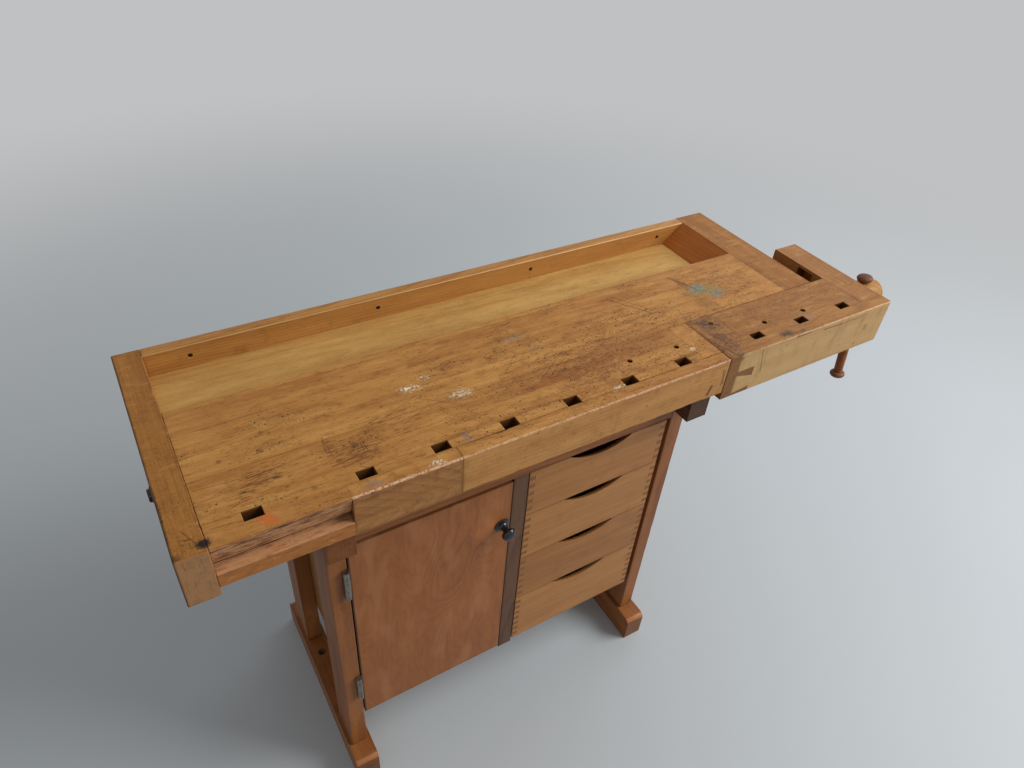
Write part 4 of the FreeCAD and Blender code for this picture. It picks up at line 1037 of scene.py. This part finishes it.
class WORKBENCH_OT_screw(bpy.types.Operator):
    """Wooden screw: a helical thread, a plain neck and the barrel-shaped hub"""

    bl_idname = "workbench.screw"
    bl_label = "Vise screw"
    bl_options = {"REGISTER", "UNDO"}

    def execute(self, context):
        shape = context.scene.workbench_shape
        low, high = span("vise_screw")
        arm_inner, arm_outer = (corner[0] for corner in span("vise_end_block"))
        setback, drop = 80.0, -40.0
        wood = turned_wood("screw_wood", "hub_wood", np.array((low[0], setback, drop)), ALONG_X,
                           3.0, 0.5, 0.05)
        new_piece("screw_thread", [self.thread(low[0] + 0.1, arm_inner, setback, drop,
                                               shape.thread_pitch)], "vise_screw", wood)
        hub = arm_outer + 0.5
        neck_radius = 15.9
        neck = [(0, neck_radius), (hub + 1 - arm_inner, neck_radius)]
        skins = [lathe(self.barrel(high[0] - hub), (hub, setback, drop), (1, 0, 0),
                       shape.round_sides),
                 lathe(neck, (arm_inner, setback, drop), (1, 0, 0), shape.round_sides)]
        new_piece("screw_hub", skins, "vise_screw", wood, replaces=False)
        return {"FINISHED"}

    def thread(self, start, end, setback, drop, pitch):
        """Thread: around the axis, the radius rises from the root to the crest where the fraction
        of distance over pitch less turn is near a half. It fades in from the start."""
        crest, root, lead_in = 15.9, 12.5, 8.0
        along = np.arange(start, end, pitch / 12)
        turn = np.linspace(0, 2 * np.pi, 40, endpoint=False)
        phase = (along[:, None] / pitch - turn[None] / (2 * np.pi)) % 1
        ridge = np.clip(1.35 - np.abs(phase - 0.5) * 3.2, 0, 1)
        lead = np.clip((along[:, None] - along[0]) / lead_in, 0.1, 1)
        radius = root + (crest - root) * ridge * lead
        return np.stack([np.broadcast_to(along[:, None], radius.shape),
                         setback + radius * np.cos(turn), drop + radius * np.sin(turn)], -1)

    def barrel(self, length):
        """Profile of the hub: a half sine wave of swelling with a groove near each end, and a
        quarter circle at the nose."""
        nose, groove_width, groove_depth = 5.0, 0.9, 0.5
        body = length - nose
        share = np.linspace(0, 1, 25)
        barrel = np.stack([share * body, 26 + 4 * np.sin(np.pi * share) - share], -1)
        from_groove = (barrel[:, 0:1] - np.array([[5.5, body - 3]])) / groove_width
        barrel[:, 1] -= groove_depth * np.exp(-from_groove ** 2).sum(1)
        turn = np.linspace(0, np.pi / 2, 7)[1:]
        tip = np.stack([body + nose * np.sin(turn), 25 - nose * (1 - np.cos(turn))], -1)
        start = [(0, 17), (0, 25.2), (0.4, 25.8)]
        return np.vstack([start, barrel[1:], tip, [(length, 10)]])


class WORKBENCH_OT_handle(bpy.types.Operator):
    """Sliding handle with its two turned knobs"""

    bl_idname = "workbench.handle"
    bl_label = "Vise handle"
    bl_options = {"REGISTER", "UNDO"}

    def execute(self, context):
        joint = next(row for row in frame["joints"] if row["name"] == "handle_slide")
        axis = np.array(joint["axis"], float)
        low, high = span("handle_bar")
        middle = (low + high) / 2
        radius = 9.5
        length = ((high - low)[2] - 2 * radius * math.sqrt(1 - axis[2] ** 2)) / axis[2]
        bottom = middle - axis * length / 2
        share = np.linspace(0, 1, 61)
        swell = radius - 0.9 + 0.8 * np.sin(np.pi * share) ** 0.6
        wood = turned_wood("handle_grain", "handle_wood", middle, ALONG_Z, 6.0, 0.48, 0.1)
        new_piece("handle_rod", [lathe(np.stack([share * length, swell], -1), bottom, axis, 40)],
                  "handle_bar", wood)
        knob = finer([(0.1, 8), (0.1, 11.5), (1.2, 13.2), (3.0, 14.6), (5.0, 15.2), (6.5, 15.3),
                      (8.5, 14.6), (10.5, 12.8), (12.2, 9.8), (13.3, 6.0), (13.9, 2.0)], 60)
        dull = turned_wood("knob_grain", "knob_wood", middle, ALONG_Z, 8.0, 0.55, 0.05)
        new_piece("handle_ends", [lathe(knob, bottom + axis * length, axis, 48),
                                  lathe(knob, bottom, -axis, 48)], "handle_knobs", dull)
        return {"FINISHED"}


class WORKBENCH_OT_trestles(bpy.types.Operator):
    """Feet, uprights and bearers"""

    bl_idname = "workbench.trestles"
    bl_label = "Trestles"
    bl_options = {"REGISTER", "UNDO"}

    def execute(self, context):
        foot_top = span("left_foot")[1][2]
        bearer_bottom = span("left_bearer")[0][2]
        seed = 30
        for index, side in enumerate(("left", "right")):
            for row in ("front", "rear"):
                node = side + "_" + row + "_upright"
                low, high = span(node)
                low[2], high[2] = foot_top, bearer_bottom
                worn_board(node, "frame_beech", ALONG_Z, 1.6, 0.4, seed, nicks=4,
                           box=(low, high), heart=(12, 90), ring=9.0, figure=0.2, tone=0.7,
                           border=0.5, coat=0.12, rough=0.45)
                seed += 1
            dress_wood(side + "_foot", "frame_beech", ALONG_Y, edge=1.2, seed=11.0 + index,
                       heart=(0, 60), ring=9.0, figure=0.25, tone=0.7, worn=0.7, coat=0.12,
                       rough=0.45, marks=foot_marks)
        dress_wood("left_bearer", "frame_beech", ALONG_Y, seed=14.0)
        dress_wood("right_bearer", "divider_wood", ALONG_Y, seed=15.0)
        return {"FINISHED"}


class WORKBENCH_OT_cabinet(bpy.types.Operator):
    """Case of the cabinet"""

    bl_idname = "workbench.cabinet"
    bl_label = "Cabinet case"
    bl_options = {"REGISTER", "UNDO"}

    def execute(self, context):
        for index, side in enumerate(("left", "right")):
            dress_wood("cabinet_side_" + side, "plain_ply", ALONG_Z, edge=0.4, seed=17.0 + index,
                       heart=(0, 190), figure=0.15, coat=0.1)
        dress_wood("cabinet_top", "frame_beech", ALONG_X, seed=19.0, coat=0.1)
        dress_wood("cabinet_back", "plain_ply", ALONG_Z, edge=0.3, seed=20.0, heart=(0, 150),
                   figure=0.25)
        dress_wood("cupboard_floor", "plain_ply", ALONG_X, edge=0.4, seed=22.0)
        worn_board("cabinet_divider", "divider_wood", ALONG_Z, 1.0, 0.3, 23, heart=(8, 40),
                   figure=0.4, coat=0.12, rough=0.45)
        return {"FINISHED"}


class WORKBENCH_OT_door(bpy.types.Operator):
    """Cupboard door with its knob and hinges"""

    bl_idname = "workbench.door"
    bl_label = "Door"
    bl_options = {"REGISTER", "UNDO"}

    def execute(self, context):
        dress_wood("door_panel", "door_veneer", ALONG_Z, seed=25.0, heart=(-30, 60), ring=9.0,
                   figure=0.06, taper=0.09, sway=40.0, fibre=0.35, fleck=0.2, tone=0.4,
                   grime=0.12, coat=0.15, rough=0.45, border=0.5, marks=door_marks)
        low, high = span("door_knob")
        middle = (low + high) / 2
        drawn_length = 31.0
        profile = finer([(0, 6), (0, 13.2), (0.8, 13.9), (2.2, 13.9), (3.2, 12.6), (4.6, 8.6),
                         (7.5, 6.4), (12, 5.9), (15.5, 6.4), (18, 8.4), (19.4, 10.8),
                         (21.2, 12.5), (23.6, 12.9), (26.2, 12.2), (28.8, 9.8), (30.3, 6.2),
                         (30.9, 2.0)], 80)
        profile[:, 0] *= (high[1] - low[1]) / drawn_length
        sides = context.scene.workbench_shape.round_sides
        new_piece("door_pull", [lathe(profile, (middle[0], high[1], middle[2]), (0, -1, 0), sides)],
                  "door_knob", plastic_material("knob_plastic", "black_plastic"))
        zinc = metal_material("zinc_hinges", "steel", 0.35, 0.9)
        for node in ("hinge_frame_leaves", "hinge_door_leaves", "hinge_pins"):
            dress(node, zinc)
        return {"FINISHED"}


class WORKBENCH_OT_drawers(bpy.types.Operator):
    """Four drawers with finger-jointed corners and scooped fronts"""

    bl_idname = "workbench.drawers"
    bl_label = "Drawers"
    bl_options = {"REGISTER", "UNDO"}

    def execute(self, context):
        for index, shade in enumerate((0.14, 0.0, 0.3, -0.06), 1):
            name = "drawer_%d_" % index
            dress_wood(name + "front", "drawer_beech", ALONG_X, edge=0.35, seed=30.0 + index,
                       heart=(12 * index - 30, 30 + 8 * index), ring=14.0, figure=0.14, fibre=0.3,
                       tone=0.55, taper=0.04, coat=0.18, rough=0.42, border=0.3, grime=0.25,
                       worn=0.5, shade=shade, marks=lip_marks)
            dress_wood(name + "box", "drawer_beech", ALONG_Y, edge=0.25, seed=40.0 + index,
                       end_grain=0.6, grime=0.2, coat=0.2, border=0.2, worn=0.1)
            dress_wood(name + "bottom", "plain_ply", ALONG_X, edge=0.0, seed=50.0 + index)
        dress_wood("drawer_runners", "frame_beech", ALONG_Y, edge=0.3, seed=60.0)
        return {"FINISHED"}


class WORKBENCH_OT_stage(bpy.types.Operator):
    """Plain floor, soft lamps and the camera"""

    bl_idname = "workbench.stage"
    bl_label = "Stage"
    bl_options = {"REGISTER", "UNDO"}

    def execute(self, context):
        stage = context.scene.workbench_stage
        self.floor(stage, context.scene)
        self.lamps(stage, context.scene)
        self.camera(stage, context.scene)
        return {"FINISHED"}

    def floor(self, stage, scene):
        """Square grid at the height of the feet, which fades into the backdrop away from the
        bench."""
        reach, count = 14.0, 9
        places = np.linspace(-reach, reach, count)
        x, y = np.meshgrid(places, places)
        points = np.stack([x, y, np.zeros_like(x)], -1).reshape(-1, 3)
        index = np.arange(count ** 2).reshape(count, count)
        quads = np.stack([index[:-1, :-1], index[:-1, 1:], index[1:, 1:], index[1:, :-1]], -1)
        mesh = bpy.data.meshes.new("floor")
        mesh.from_pydata(points, [], quads.reshape(-1, 4).tolist())
        paint = Paint("floor_paint")
        paint.colour, paint.rough = tuple(stage.floor_colour), 0.6
        cloud = paint.noise(paint.place, 1.3, 3)
        paint.tint(cloud.ease(0.3, 0.7) * 0.35, darker(paint.colour, 0.93))
        mesh.materials.append(paint.finish())
        far = paint.size(paint.place).ease(1.1, 3.8)
        pale = paint.add("ShaderNodeEmission", None, {"Color": (*BACKDROP, 1), "Strength": 1.0})
        both = paint.add("ShaderNodeMixShader", None,
                         {0: far * paint.seen(), 1: Wire(paint, paint.shader.outputs[0]), 2: pale})
        paint.tree.links.new(both.socket, paint.tree.nodes["Material Output"].inputs["Surface"])
        plane = bpy.data.objects.new("floor", mesh)
        scene.collection.objects.link(plane)

    def lamps(self, stage, scene):
        """Even room light, and two square lamps that point at the bench."""
        world = bpy.data.worlds.new("room")
        scene.world = world
        world.use_nodes = True
        world.node_tree.nodes.clear()
        room = Nodes(world.node_tree)
        light = room.add("ShaderNodeBackground", None,
                         {"Color": (1, 1, 1, 1), "Strength": stage.sky_strength})
        shown = room.add("ShaderNodeBackground", None, {"Color": (*BACKDROP, 1), "Strength": 1.0})
        both = room.add("ShaderNodeMixShader", None, {0: room.seen(), 1: light, 2: shown})
        room.add("ShaderNodeOutputWorld", None, {"Surface": both})
        aim = Vector((0, 0, 0.7))
        for name, place, size, power, colour in (
                ("key_lamp", (2.8, -1.7, 2.9), 2.4, stage.key_power, (1.0, 0.99, 0.97)),
                ("window_lamp", (3.0, 1.6, 2.6), 2.0, stage.window_power, (0.86, 0.93, 1.0))):
            lamp = bpy.data.lights.new(name, "AREA")
            lamp.shape = "SQUARE"
            lamp.size = size
            lamp.energy = power
            lamp.color = colour
            holder = bpy.data.objects.new(name, lamp)
            holder.location = place
            holder.rotation_euler = (aim - Vector(place)).to_track_quat("-Z", "Y").to_euler()
            scene.collection.objects.link(holder)

    def camera(self, stage, scene):
        """Camera at the eye point, turned by its yaw, pitch and roll in radians."""
        eye = Vector((-0.6525, -0.8468, 1.5269))
        yaw, pitch, roll = 0.5902, 0.6873, 0.0851
        view = bpy.data.cameras.new("camera")
        view.lens = stage.lens
        view.sensor_width = 36.0
        view.dof.use_dof = False
        holder = bpy.data.objects.new("camera", view)
        turn = (Matrix.Rotation(-yaw, 4, "Z") @ Matrix.Rotation(math.pi / 2 - pitch, 4, "X")
                @ Matrix.Rotation(roll, 4, "Z"))
        holder.matrix_world = Matrix.Translation(eye) @ turn
        scene.collection.objects.link(holder)
        scene.camera = holder
        scene.view_settings.view_transform = "Standard"


OPERATORS = (
    WORKBENCH_OT_top, WORKBENCH_OT_fastenings, WORKBENCH_OT_vise, WORKBENCH_OT_screw,
    WORKBENCH_OT_handle, WORKBENCH_OT_trestles, WORKBENCH_OT_cabinet, WORKBENCH_OT_door,
    WORKBENCH_OT_drawers, WORKBENCH_OT_stage,
)
GROUPS = (("workbench_colours", WorkbenchColours), ("workbench_shape", WorkbenchShape),
          ("workbench_stage", WorkbenchStage))


class WORKBENCH_PT_panel(bpy.types.Panel):
    """Sidebar panel with the bench's operators"""

    bl_idname = "WORKBENCH_PT_panel"
    bl_label = "Workbench"
    bl_space_type = "VIEW_3D"
    bl_region_type = "UI"
    bl_category = "Workbench"

    def draw(self, context):
        layout = self.layout
        for operator in OPERATORS:
            layout.operator(operator.bl_idname)
        for attribute, group in GROUPS[1:]:
            settings = getattr(context.scene, attribute)
            for key in group.__annotations__:
                layout.prop(settings, key)


def register():
    for name, group in GROUPS:
        bpy.utils.register_class(group)
        setattr(bpy.types.Scene, name, bpy.props.PointerProperty(type=group))
    for operator in OPERATORS:
        bpy.utils.register_class(operator)
    bpy.utils.register_class(WORKBENCH_PT_panel)


def unregister():
    bpy.utils.unregister_class(WORKBENCH_PT_panel)
    for operator in reversed(OPERATORS):
        bpy.utils.unregister_class(operator)
    for name, group in reversed(GROUPS):
        delattr(bpy.types.Scene, name)
        bpy.utils.unregister_class(group)


def main():
    register()
    for operator in OPERATORS:
        family, action = operator.bl_idname.split(".")
        result = getattr(getattr(bpy.ops, family), action)()
        if result != {"FINISHED"}:
            raise RuntimeError(operator.bl_idname + " did not finish")


if __name__ == "__main__":
    main()
